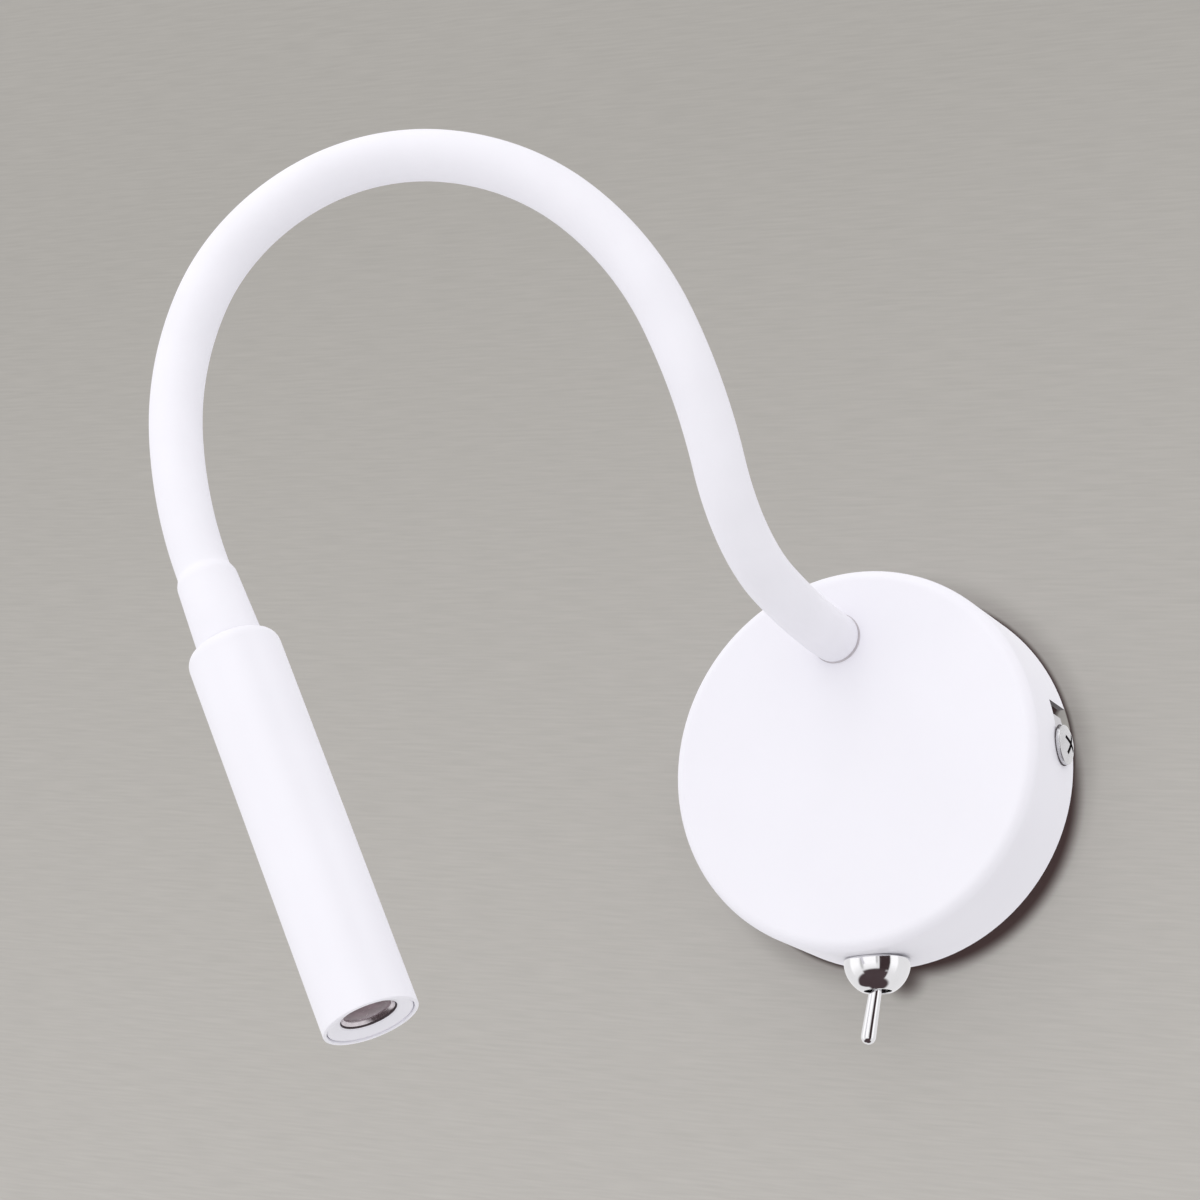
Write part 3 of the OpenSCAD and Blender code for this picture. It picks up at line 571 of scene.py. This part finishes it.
# The lens is a dark bulging eye inside a shiny funnel
lens_back, _, _, lens_flange_r = turned("lens", head_top, head_axis)
LENS_GAP, RIM_OUT, FLANGE_GAP, FLANGE_DEEP = 0.2 * MM, 0.4 * MM, 0.1 * MM, 1.1 * MM
EYE_R, LENS_EDGE, FUNNEL, BULGE, LENS_BACK_R = 5.6 * MM, 0.1 * MM, 0.6 * MM, 1.0 * MM, 3.5 * MM
FUNNEL_CURVE = 0.85
lens_r = bezel_bore - LENS_GAP
funnel_r = lens_r - LENS_EDGE
rim_z = bezel_from + RIM_OUT
flange_z, lens_seat = bezel_from - FLANGE_GAP, bezel_from - FLANGE_DEEP
eye_ball_r = (EYE_R ** 2 + BULGE ** 2) / (2 * BULGE)
eye_middle = rim_z - FUNNEL + BULGE - eye_ball_r
eye = [(r, eye_middle + math.sqrt(eye_ball_r ** 2 - r ** 2), 0) for r in np.linspace(0, EYE_R, 16)]
funnel = [(r, rim_z - FUNNEL * ((funnel_r - r) / (funnel_r - EYE_R)) ** FUNNEL_CURVE, 0)
          for r in np.linspace(EYE_R, funnel_r, 8)[1:]]
lens = lathe("lens_eye", rounded(eye + funnel + [
    (lens_r, rim_z - LENS_EDGE, 0), (lens_r, flange_z, 0), (lens_flange_r, flange_z, 0.1 * MM),
    (lens_flange_r, lens_seat, 0.1 * MM), (lens_r, lens_seat, 0), (LENS_BACK_R, lens_back, 0.3 * MM),
    (0, lens_back, 0)], steps=4), head_frame)
dress(lens, lens_dark, "head", "lens_clear", "lens")
lens.data.materials.append(lens_edge)
# The lens's outer edge past its funnel takes the same painted gap shadow
lens.data.materials.append(gap_shadow_dark)
for face, along, across in zip(lens.data.polygons, *face_spots(lens)):
    if along > rim_z - FUNNEL and across > EYE_R:
        face.material_index = 2 if across > funnel_r else 1


# The switch: dome nut and lever

switch_pivot = np.array(joints["switch_throw"]["pos_m"])
switch_axis = np.array([switch_pivot[0], switch_pivot[1], 0.0])
dome_from, dome_to, dome_hole, dome_r = turned("switch_dome", switch_axis, np.array([0.0, 0.0, -1.0]))
DOME_BELLY, DOME_WALL, DOME_INSET, BOWL_CUT = 0.5 * MM, 1.6 * MM, 2.6 * MM, 0.3 * MM
belly = dome_from + DOME_BELLY
dome_inside = dome_to - DOME_WALL
bottom_r = math.sqrt(dome_r ** 2 - (dome_to - belly) ** 2)
bowl = [(math.sqrt(dome_r ** 2 - d ** 2), belly + d, 0)
        for d in np.linspace(dome_to - belly - BOWL_CUT, 0, 26)]
dome = lathe("dome_nut", rounded(
    [(dome_hole, dome_inside, 0), (dome_hole, dome_to, 0.25 * MM), (bottom_r, dome_to, 0.45 * MM)] + bowl +
    [(dome_r, dome_from, 0.3 * MM), (dome_r - DOME_WALL, dome_from, 0.2 * MM),
     (dome_r - DOME_INSET, dome_inside, 0)], steps=6), axis_frame(switch_axis, (0, 0, -1)), closed=True)
dress(dome, chrome, "base", "chrome", "switch_dome")

# At rest the lever leans by half its throw
throw = next(j for j in frame["record"]["behaviour"]["joints"] if j["name"] == "switch_throw")["range_deg"]
lean = math.radians(throw[1] - throw[0]) / 2
lever_out = np.array([-math.sin(lean), 0.0, -math.cos(lean)])
lever_along, lever_across = along_and_across(node_points("switch_lever"), switch_pivot, lever_out)
lever_l = float(lever_along.max())
lever_r = float(lever_across[lever_along > lever_l / 2].max())
LEVER_NECK_R, PIVOT_R, TAIL_R, TAIL_L = 1.55 * MM, 2.6 * MM, 1.3 * MM, 5 * MM
ball = [(PIVOT_R * math.sin(a), -PIVOT_R * math.cos(a), 0)
        for a in np.linspace(math.asin(TAIL_R / PIVOT_R), math.pi - math.asin(LEVER_NECK_R / PIVOT_R), 18)]
tip = [(lever_r * math.cos(a), lever_l - lever_r + lever_r * math.sin(a), 0)
       for a in np.linspace(0, math.pi / 2, 14)]
lever = lathe("toggle_lever", rounded([(0, -TAIL_L, 0), (TAIL_R, -TAIL_L, 0.3 * MM)] + ball + tip),
              axis_frame(switch_pivot, lever_out, (0, 1, 0)), segments=96)
dress(lever, chrome, "lever", "chrome", "switch_lever")


# The canopy's side screws, with a cross recess in their heads

RECESS_TURN, RECESS_LOW, RECESS_HIGH = math.radians(60), 0.62, 1.15
RECESS_REACH, RECESS_WIDTH, RECESS_Z = 0.66, 0.11, (0.25, 1.3)
RECESS_BAND, RECESS_SKIN = 0.75, 0.06 * MM
PITCH, THREAD_DEEP, THREAD_FROM, THREAD_TO = 0.8 * MM, 0.35 * MM, 0.6 * MM, 1.2 * MM
POINT_CUT, COLLAR_CUT, COLLAR_L, SHANK_CLEAR, CAP_PART = 0.6 * MM, 0.2 * MM, 1 * MM, 2 * MM, 0.93
# A thin dark ring under each screw head paints the shadow line round it
SHADOW_RING_LOW, SHADOW_RING_HIGH, SHADOW_RING_EDGE = -0.02 * MM, 0.1 * MM, 0.04 * MM
SHADOW_RING_OUT, SHADOW_RING_GAP = 0.22 * MM, 0.1 * MM


def cross_cutter(placed, reach, width, z_low, z_high):
    """A cross-shaped plug that narrows downwards."""
    quarter = [(reach, width), (width, width), (width, reach)]
    outline = []
    for across, up in ((1, 0), (0, 1), (-1, 0), (0, -1)):
        outline += [(x * across - y * up, x * up + y * across) for x, y in quarter]
    points = []
    for z, part in ((z_low, RECESS_LOW), (z_high, RECESS_HIGH)):
        for x, y in outline:
            turned_x = (x * math.cos(RECESS_TURN) - y * math.sin(RECESS_TURN)) * part
            turned_y = (x * math.sin(RECESS_TURN) + y * math.cos(RECESS_TURN)) * part
            points.append(placed @ Vector((turned_x, turned_y, z)))
    count = len(outline)
    caps = [list(range(count))[::-1], list(range(count, 2 * count))]
    return add_mesh("recess", points, caps + ring_faces(2, count))


def side_screw(hand, side, points):
    """One side screw, and a thin dark ring round its head that paints the shadow line there."""
    mine = points[points[:, 0] * side > 0]
    reach = np.abs(mine[:, 0])
    head = mine[reach > canopy_r]
    middle_y = (head[:, 1].min() + head[:, 1].max()) / 2
    middle_z = (head[:, 2].min() + head[:, 2].max()) / 2
    seat_x = float(np.abs(head[:, 0]).min())
    head_h = float(np.abs(head[:, 0]).max()) - seat_x
    screw_r = float(np.ptp(head[:, 2])) / 2
    shank_l = seat_x - float(reach.min())
    shank_r = float(np.ptp(mine[reach < seat_x - SHANK_CLEAR][:, 2])) / 2
    placed = axis_frame((side * seat_x, middle_y, middle_z), (side, 0, 0), (0, 0, 1))
    shadow_ring = thin_ring("screw_shadow_ring_" + hand, shank_r + SHADOW_RING_GAP, screw_r + SHADOW_RING_OUT, SHADOW_RING_LOW,
                       SHADOW_RING_HIGH, SHADOW_RING_EDGE, placed, segments=64)
    dress(shadow_ring, screw_shadow_dark, "base", "grey_rubber")

    round_r = (screw_r ** 2 + (head_h / 2) ** 2) / head_h

    def cap_height(r):
        return head_h - round_r + math.sqrt(round_r ** 2 - r ** 2)

    cap = [(r, cap_height(r), 0) for r in np.linspace(screw_r * CAP_PART, 0, 14)]
    thread = []
    for z in np.arange(-shank_l + THREAD_FROM, -THREAD_TO, PITCH):
        thread += [(shank_r - THREAD_DEEP, z, 0), (shank_r, z + PITCH / 2, 0)]
    line = [(0, -shank_l, 0), (shank_r - POINT_CUT, -shank_l, 0)] + thread + [
        (shank_r - COLLAR_CUT, -COLLAR_L, 0), (shank_r - COLLAR_CUT, 0, 0), (screw_r, 0, 0.15 * MM),
        (screw_r, head_h / 2, 0.45 * MM)] + cap
    screw = lathe("side_screw_" + hand, rounded(line), placed, segments=64)
    cut_away(screw, cross_cutter(placed, screw_r * RECESS_REACH, screw_r * RECESS_WIDTH,
                                 head_h * RECESS_Z[0], head_h * RECESS_Z[1]))
    dress(screw, plated, "base", "screw_steel", "canopy_screws")
    # The faces inside the cross recess take the near-black colour: painted shade of the recess
    screw.data.materials.append(recess_dark)
    back = placed.inverted()
    for face in screw.data.polygons:
        spot = back @ face.center
        across = math.hypot(spot.x, spot.y)
        if across < screw_r * RECESS_BAND and 0 < spot.z < cap_height(across) - RECESS_SKIN:
            face.material_index = 1


screw_points = node_points("canopy_screws")
side_screw("right", 1, screw_points)
side_screw("left", -1, screw_points)


# Soft pieces behind the canopy: grommet, foam pad, wires and the arm's two-core lead

grommet_low, grommet_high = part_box("cable_grommet")
grommet_at = np.array([(grommet_low.x + grommet_high.x) / 2, 0.0, (grommet_low.z + grommet_high.z) / 2])
grommet_along, grommet_across = along_and_across(node_points("cable_grommet"), grommet_at, arm_out)
END_BAND, FLANGE_LEAST = 0.1 * MM, 0.5 * MM
grommet_back, grommet_front = float(grommet_along.min()), float(grommet_along.max())
grommet_r = float(grommet_across[grommet_along < grommet_back + END_BAND].max())
flange_back = float(grommet_along[grommet_across > grommet_r + FLANGE_LEAST].min())
grommet_bore, flange_r = float(grommet_across.min()), float(grommet_across.max())
grommet = lathe("wall_grommet", rounded([
    (grommet_bore, grommet_back, 0.3 * MM), (grommet_r, grommet_back, 0.25 * MM), (grommet_r, flange_back, 0),
    (flange_r, flange_back, 0.15 * MM), (flange_r, grommet_front, 0.5 * MM),
    (grommet_bore, grommet_front, 0.4 * MM), (grommet_bore, (grommet_back + grommet_front) / 2, 0)]),
    axis_frame(grommet_at, arm_out), segments=96, closed=True)
dress(grommet, rubber, "base", "grey_rubber", "cable_grommet")

# The pad's sides bulge a little between its two glued faces
PAD_CORNER, PAD_POINTS, PAD_BULGE = 1.5 * MM, 32, [0.975, 0.994, 1.0, 0.994, 0.975]
pad_low, pad_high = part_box("driver_pad")
pad_x, pad_z = (pad_low.x + pad_high.x) / 2, (pad_low.z + pad_high.z) / 2
corner_x = (pad_high.x - pad_low.x) / 2 - PAD_CORNER
corner_z = (pad_high.z - pad_low.z) / 2 - PAD_CORNER
pad_outline = [(math.copysign(corner_x, math.cos(a)) + PAD_CORNER * math.cos(a),
                math.copysign(corner_z, math.sin(a)) + PAD_CORNER * math.sin(a))
               for a in np.linspace(0, 2 * math.pi, PAD_POINTS, endpoint=False) + math.pi / PAD_POINTS]
pad_places = [np.array([pad_x, y, pad_z]) for y in np.linspace(pad_low.y, pad_high.y, len(PAD_BULGE))]
pad = sweep("driver_foam", pad_places, [-arm_out] * len(PAD_BULGE), to_right, pad_outline, scales=PAD_BULGE)
dress(pad, foam, "base", "grey_foam", "driver_pad")

THIN_PART, THICK_TO, THIN_FROM = 0.8, 0.55, 0.65


def short_wire(name, points, material, slot, node):
    """A short upright wire with a thicker insulated end and a thinner stripped one."""
    low, high = points.min(0), points.max(0)
    wire_r, wire_l = (high[0] - low[0]) / 2, high[2] - low[2]
    thin_r = wire_r * THIN_PART
    foot = ((low[0] + high[0]) / 2, (low[1] + high[1]) / 2, low[2])
    wire = lathe(name, rounded([
        (0, 0, 0), (wire_r, 0, 0.15 * MM), (wire_r, wire_l * THICK_TO, 0.15 * MM),
        (thin_r, wire_l * THIN_FROM, 0.1 * MM), (thin_r, wire_l, 0.2 * MM), (0, wire_l, 0)]),
        axis_frame(foot, (0, 0, 1)), segments=32)
    dress(wire, material, "base", slot, node)


for node, name, material, slot in (("supply_leads", "supply_wire", brown_wire, "wire_brown"),
                                   ("switch_leads", "switch_wire", black_wire, "wire_black")):
    wire_points = node_points(node)
    halfway = (wire_points[:, 0].min() + wire_points[:, 0].max()) / 2
    short_wire(name + "_left", wire_points[wire_points[:, 0] < halfway], material, slot, node)
    short_wire(name + "_right", wire_points[wire_points[:, 0] > halfway], material, slot, node)

# The two-core lead leaves the nipple, bends down and ends at the driver's top
LEAD_BEND, LEAD_SLANT, LEAD_GAP, LEAD_INSIDE = 7 * MM, math.radians(15), 0.2 * MM, 4 * MM
LEAD_BAND, CORE_MEAN, CORE_SWING = 0.7 * MM, 0.78, 0.22
lead_points = node_points("arm_lead_1")
lead_inner = lead_points[np.abs(lead_points[:, 1] - nipple_high.y) < LEAD_BAND]
lead_r = float(np.ptp(lead_inner[:, 0])) / 2
lead_down = np.array([-math.sin(LEAD_SLANT), 0.0, -math.cos(LEAD_SLANT)])
lead_from = np.array([arm_start[0], nipple_high.y, arm_start[2]])
lead_run = ((arm_start[2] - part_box("driver_case")[1].z) / math.cos(LEAD_SLANT) - LEAD_BEND
            - lead_r * math.tan(LEAD_SLANT) - LEAD_GAP)
lead_places, lead_headings = [lead_from + arm_out * LEAD_INSIDE], [-arm_out]
for t in np.linspace(0, math.pi / 2, 17):
    lead_places.append(lead_from + LEAD_BEND * (math.sin(t) * -arm_out + (1 - math.cos(t)) * lead_down))
    lead_headings.append(math.cos(t) * -arm_out + math.sin(t) * lead_down)
lead_places.append(lead_places[-1] + lead_down * lead_run)
lead_headings.append(lead_down)
two_cores = []
for a in np.linspace(0, 2 * math.pi, 40, endpoint=False):
    core_r = lead_r * (CORE_MEAN + CORE_SWING * math.cos(2 * a))
    two_cores.append((core_r * math.cos(a), core_r * math.sin(a)))
lead = sweep("two_core_lead", lead_places, lead_headings, to_right, two_cores)
dress(lead, lead_plastic, "base", "white_lead", "arm_lead_1")


# Stage: a grey wall and a pale floor

WALL_SPAN = (-0.115, 0.205)
STREAK_NOISE, STREAK_SWING = (0.25, 0.75), (0.95, 1.05)
STAGE_ROUGH, STAGE_GLOSS = 0.9, 0.1


def streaked_tone(tree, place, height, tones, streaks, tilt):
    """A colour that runs from the first tone low to the second high, with fine streaks of the given size."""
    scale = tree.nodes.new("ShaderNodeMapping")
    scale.vector_type = "TEXTURE"
    scale.inputs["Rotation"].default_value = (0, tilt, 0)
    scale.inputs["Scale"].default_value = streaks
    tree.links.new(place, scale.inputs["Vector"])
    noise = noise_value(tree, scale.outputs["Vector"], 1.0, 5)
    ramp = tree.nodes.new("ShaderNodeValToRGB")
    for element, tone in zip(ramp.color_ramp.elements, tones):
        element.color = (*tone, 1)
    tree.links.new(map_range(tree, height, WALL_SPAN), ramp.inputs["Fac"])
    streaked = tree.nodes.new("ShaderNodeMix")
    streaked.data_type, streaked.blend_type = "RGBA", "MULTIPLY"
    streaked.inputs["Factor"].default_value = 1.0
    tree.links.new(ramp.outputs["Color"], streaked.inputs["A"])
    tree.links.new(map_range(tree, noise, STREAK_NOISE, STREAK_SWING), streaked.inputs["B"])
    return streaked.outputs["Result"]


def show_front_only(tree):
    """Leaves a material clear from behind, and clear to the rays of shadows, soft light and gloss."""
    rays = tree.nodes.new("ShaderNodeLightPath").outputs
    hidden = tree.nodes.new("ShaderNodeNewGeometry").outputs["Backfacing"]
    for ray in ("Is Shadow Ray", "Is Diffuse Ray", "Is Glossy Ray"):
        hidden = link_math(tree, "MAXIMUM", hidden, rays[ray])
    clear = tree.nodes.new("ShaderNodeBsdfTransparent").outputs["BSDF"]
    shown = mix_shader(tree, hidden, tree.nodes["Principled BSDF"].outputs["BSDF"], clear)
    tree.links.new(shown, tree.nodes["Material Output"].inputs["Surface"])


def one_sided(name, tones, streaks, tilt=0.0, glow=0.0):
    """A matte stage surface that shows from its front only and stops no light. Returns the material, its axes
    and its colour."""
    made = bpy.data.materials.new(name)
    made.use_nodes = True
    tree = made.node_tree
    shader = tree.nodes["Principled BSDF"]
    shader.inputs["Roughness"].default_value = STAGE_ROUGH
    shader.inputs["Specular IOR Level"].default_value = STAGE_GLOSS
    shader.inputs["Emission Strength"].default_value = glow
    place = tree.nodes.new("ShaderNodeTexCoord").outputs["Object"]
    axes = tree.nodes.new("ShaderNodeSeparateXYZ")
    tree.links.new(place, axes.inputs["Vector"])
    show_front_only(tree)
    return made, axes.outputs, streaked_tone(tree, place, axes.outputs["Z"], tones, streaks, tilt)


def stage_plane(name, corners, material, colour):
    """A plane of the stage with its material painted in one colour socket."""
    shader = material.node_tree.nodes["Principled BSDF"]
    for socket in ("Base Color", "Emission Color"):
        material.node_tree.links.new(colour, shader.inputs[socket])
    obj = add_mesh(name, corners, [[0, 1, 2, 3]])
    obj.data.materials.append(material)


WALL_Y, FLOOR_Z, SPREAD = 0.3 * MM, -0.34, 3.0
WALL_LOW, WALL_HIGH, WALL_GLOW = (0.325, 0.313, 0.295), (0.266, 0.256, 0.239), 0.5
WALL_STREAKS, STREAK_TILT = (14 * MM, 1, 0.75 * MM), math.radians(8.4)
FLOOR_TONE, FLOOR_STREAKS = (0.62, 0.61, 0.59), (25 * MM, 25 * MM, 25 * MM)
wall_grey, wall_axes, wall_tone = one_sided(
    "wall_grey", (WALL_LOW, WALL_HIGH), WALL_STREAKS, tilt=STREAK_TILT, glow=WALL_GLOW)
wall_tree = wall_grey.node_tree

# Shade on the wall: a thin line and a faint halo round the canopy, a crescent to the lower right and a soft
# spot beside the switch. None falls on the wall behind the slot's mouth, where light comes in.
LINE_REACH = (49.8 * MM, 51.5 * MM)
CRESCENT_AT, CRESCENT_REACH = (5.7 * MM, -6.3 * MM), (43.2 * MM, 47.6 * MM)
MOUTH_AT, MOUTH_REACH, MOUTH_LIMIT = (49.0 * MM, 11.0 * MM), (4.3 * MM, 2.6 * MM), (50.1 * MM, 49.7 * MM)
HALO_REACH, HALO_LEAST = (50.5 * MM, 58 * MM), 0.72
SPOT_AT, SPOT_REACH, SPOT_LEAST = (2.2 * MM, -53.0 * MM), (0.5 * MM, 7 * MM), 0.16
SHADE = (0.040, 0.026, 0.025)


def wall_distance(x, z):
    """How far each point of the wall lies from one place on it."""
    off_x = link_math(wall_tree, "SUBTRACT", wall_axes["X"], x)
    off_z = link_math(wall_tree, "SUBTRACT", wall_axes["Z"], z)
    squares = [link_math(wall_tree, "POWER", off, 2.0) for off in (off_x, off_z)]
    return link_math(wall_tree, "SQRT", link_math(wall_tree, "ADD", *squares))


def lighten(fade, least):
    """Lifts a fade from 0..1 to least..1."""
    return link_math(wall_tree, "ADD", link_math(wall_tree, "MULTIPLY", fade, 1 - least), least)


from_middle = wall_distance(0.0, 0.0)
line_fade = soft_step(wall_tree, from_middle, *LINE_REACH)
crescent_fade = soft_step(wall_tree, wall_distance(*CRESCENT_AT), *CRESCENT_REACH)
mouth_fade = link_math(wall_tree, "MULTIPLY", soft_step(wall_tree, wall_distance(*MOUTH_AT), *MOUTH_REACH),
                       soft_step(wall_tree, from_middle, *MOUTH_LIMIT))
edge_fade = link_math(wall_tree, "MINIMUM", line_fade, crescent_fade)
halo_fade = lighten(soft_step(wall_tree, from_middle, *HALO_REACH), HALO_LEAST)
spot_fade = lighten(soft_step(wall_tree, wall_distance(*SPOT_AT), *SPOT_REACH), SPOT_LEAST)
light_left = spot_fade
for fade in (edge_fade, halo_fade):
    fade = link_math(wall_tree, "MAXIMUM", fade, mouth_fade)
    light_left = link_math(wall_tree, "MULTIPLY", light_left, fade)
shaded_wall = mix_colour(wall_tree, light_left, SHADE, wall_tone)
stage_plane("wall", [(-SPREAD, WALL_Y, -SPREAD), (SPREAD, WALL_Y, -SPREAD), (SPREAD, WALL_Y, SPREAD),
                     (-SPREAD, WALL_Y, SPREAD)], wall_grey, shaded_wall)
floor_pale, _, floor_tone = one_sided("floor_pale", (FLOOR_TONE, FLOOR_TONE), FLOOR_STREAKS)
stage_plane("floor", [(-SPREAD, -SPREAD, FLOOR_Z), (SPREAD, -SPREAD, FLOOR_Z), (SPREAD, WALL_Y, FLOOR_Z),
                      (-SPREAD, WALL_Y, FLOOR_Z)], floor_pale, floor_tone)


# Light: one soft key lamp, and a world with even light, a grey backdrop and a studio that only gloss shows

KEY_AT, KEY_SIZE, KEY_POWER = Vector((-0.5, -1.35, 1.95)), 1.8, 6
key = bpy.data.lights.new("key", "AREA")
key.shape, key.size, key.energy = "DISK", KEY_SIZE, KEY_POWER
key_obj = bpy.data.objects.new("key", key)
key_obj.location = KEY_AT
key_obj.rotation_euler = ((cad_low + cad_high) / 2 - KEY_AT).to_track_quat("-Z", "Y").to_euler()
bpy.context.scene.collection.objects.link(key_obj)

world = bpy.data.worlds.new("studio")
bpy.context.scene.world = world
world.use_nodes = True
world_tree = world.node_tree
direction = world_tree.nodes.new("ShaderNodeTexCoord").outputs["Generated"]
towards = world_tree.nodes.new("ShaderNodeSeparateXYZ")
world_tree.links.new(direction, towards.inputs["Vector"])

# Even light grows a little towards the upper left of the room's side
LIGHT_COLOUR, LIGHT_MEAN, LIGHT_GROWS = (0.995, 0.99, 1.0, 1), 0.925, (-0.05, -0.15, 0.12)
BACKDROP = (0.45, 0.435, 0.41, 1)
ambient = world_tree.nodes["Background"]
ambient.inputs["Color"].default_value = LIGHT_COLOUR
growth = world_tree.nodes.new("ShaderNodeVectorMath")
growth.operation = "DOT_PRODUCT"
world_tree.links.new(direction, growth.inputs[0])
growth.inputs[1].default_value = LIGHT_GROWS
even_light = link_math(world_tree, "ADD", growth.outputs["Value"], LIGHT_MEAN)
world_tree.links.new(even_light, ambient.inputs["Strength"])
seen = world_tree.nodes.new("ShaderNodeBackground")
seen.inputs["Color"].default_value = BACKDROP

# Zones of the studio: two directions in degrees round the upright axis, how soft their sides are, and the two
# heights between which the zone comes in. Directions count from one that looks out into the room.
ROOM_AZIMUTH = math.radians(27.7)
DARK_FLOORS = [(-140, 42, 4, -0.56, -0.66), (-66, 30, 4, -0.46, -0.56)]
DARK_UPRIGHT = (3, 41, 2.5, -0.66, -0.5)
NADIR = (-0.84, -0.92)
BRIGHT_PANELS = [(-112, -70, 5, -0.6, -0.1), (-54, -9, 3, -0.6, -0.1), (44, 72, 4, -0.7, -0.1)]
GREY_POSTS = [(-66, -58, 2, -0.5, -0.3), (-10, -3, 2, -0.3, -0.1)]
STUDIO_LEVEL, PANEL_GAIN, POST_LOSS = 0.92, 0.32, 0.28
STUDIO_WHITE, FLOOR_DARK, UPRIGHT_DARK = (1.0, 0.99, 1.0), (0.080, 0.055, 0.060), (0.055, 0.036, 0.038)


def along_room(x_part, y_part):
    """A direction's part along a level line."""
    return link_math(world_tree, "ADD", link_math(world_tree, "MULTIPLY", towards.outputs["X"], x_part),
                     link_math(world_tree, "MULTIPLY", towards.outputs["Y"], y_part))


into_room = along_room(math.sin(ROOM_AZIMUTH), -math.cos(ROOM_AZIMUTH))
across_room = along_room(math.cos(ROOM_AZIMUTH), math.sin(ROOM_AZIMUTH))
room_turn = link_math(world_tree, "ARCTAN2", across_room, into_room)


def zone(from_deg, to_deg, soft_deg, z_from, z_to):
    """1 between two directions round the upright axis, where the height runs past z_from to z_to."""
    past_from = soft_step(world_tree, room_turn, math.radians(from_deg - soft_deg),
                          math.radians(from_deg + soft_deg))
    before_to = soft_step(world_tree, room_turn, math.radians(to_deg + soft_deg),
                          math.radians(to_deg - soft_deg))
    return link_math(world_tree, "MULTIPLY", link_math(world_tree, "MULTIPLY", past_from, before_to),
                     soft_step(world_tree, towards.outputs["Z"], z_from, z_to))


def joined(zones, operation, start):
    """Several zones in one."""
    for limits in zones:
        start = link_math(world_tree, operation, start, zone(*limits))
    return start


nadir = soft_step(world_tree, towards.outputs["Z"], *NADIR)
dark_floor = joined(DARK_FLOORS, "MAXIMUM", nadir)
panels = joined(BRIGHT_PANELS, "ADD", 0.0)
posts = joined(GREY_POSTS, "MAXIMUM", 0.0)
lit = link_math(world_tree, "ADD", link_math(world_tree, "MULTIPLY", panels, PANEL_GAIN), STUDIO_LEVEL)
gloss_level = link_math(world_tree, "SUBTRACT", lit, link_math(world_tree, "MULTIPLY", posts, POST_LOSS))
gloss_colour = mix_colour(world_tree, dark_floor, STUDIO_WHITE, FLOOR_DARK)
gloss_colour = mix_colour(world_tree, zone(*DARK_UPRIGHT), gloss_colour, UPRIGHT_DARK)
gloss = world_tree.nodes.new("ShaderNodeBackground")
world_tree.links.new(gloss_colour, gloss.inputs["Color"])
world_tree.links.new(gloss_level, gloss.inputs["Strength"])

# The camera sees the backdrop, gloss sees the studio, and every other ray sees the even light
rays = world_tree.nodes.new("ShaderNodeLightPath").outputs
straight = link_math(world_tree, "MAXIMUM", rays["Is Camera Ray"], rays["Is Transmission Ray"])
light = mix_shader(world_tree, rays["Is Glossy Ray"], ambient.outputs["Background"],
                   gloss.outputs["Background"])
light = mix_shader(world_tree, straight, light, seen.outputs["Background"])
world_tree.links.new(light, world_tree.nodes["World Output"].inputs["Surface"])


# The photograph's camera

CAMERA_AT = Vector((309.48, -755.56, -207.25)) * MM
CAMERA_AZIMUTH, CAMERA_ELEVATION = math.radians(27.662), math.radians(-17.548)
SENSOR_WIDTH, CAMERA_LENS = 36, 95.79
camera = bpy.data.cameras.new("camera")
camera.sensor_width, camera.lens = SENSOR_WIDTH, CAMERA_LENS
camera.clip_start, camera.clip_end = 0.01, 50
camera_obj = bpy.data.objects.new("camera", camera)
camera_obj.location = CAMERA_AT
looking = Vector((-math.sin(CAMERA_AZIMUTH) * math.cos(CAMERA_ELEVATION),
                  math.cos(CAMERA_AZIMUTH) * math.cos(CAMERA_ELEVATION), -math.sin(CAMERA_ELEVATION)))
camera_obj.rotation_euler = looking.to_track_quat("-Z", "Y").to_euler()
bpy.context.scene.collection.objects.link(camera_obj)
bpy.context.scene.camera = camera_obj
bpy.context.scene.view_settings.view_transform = "Standard"
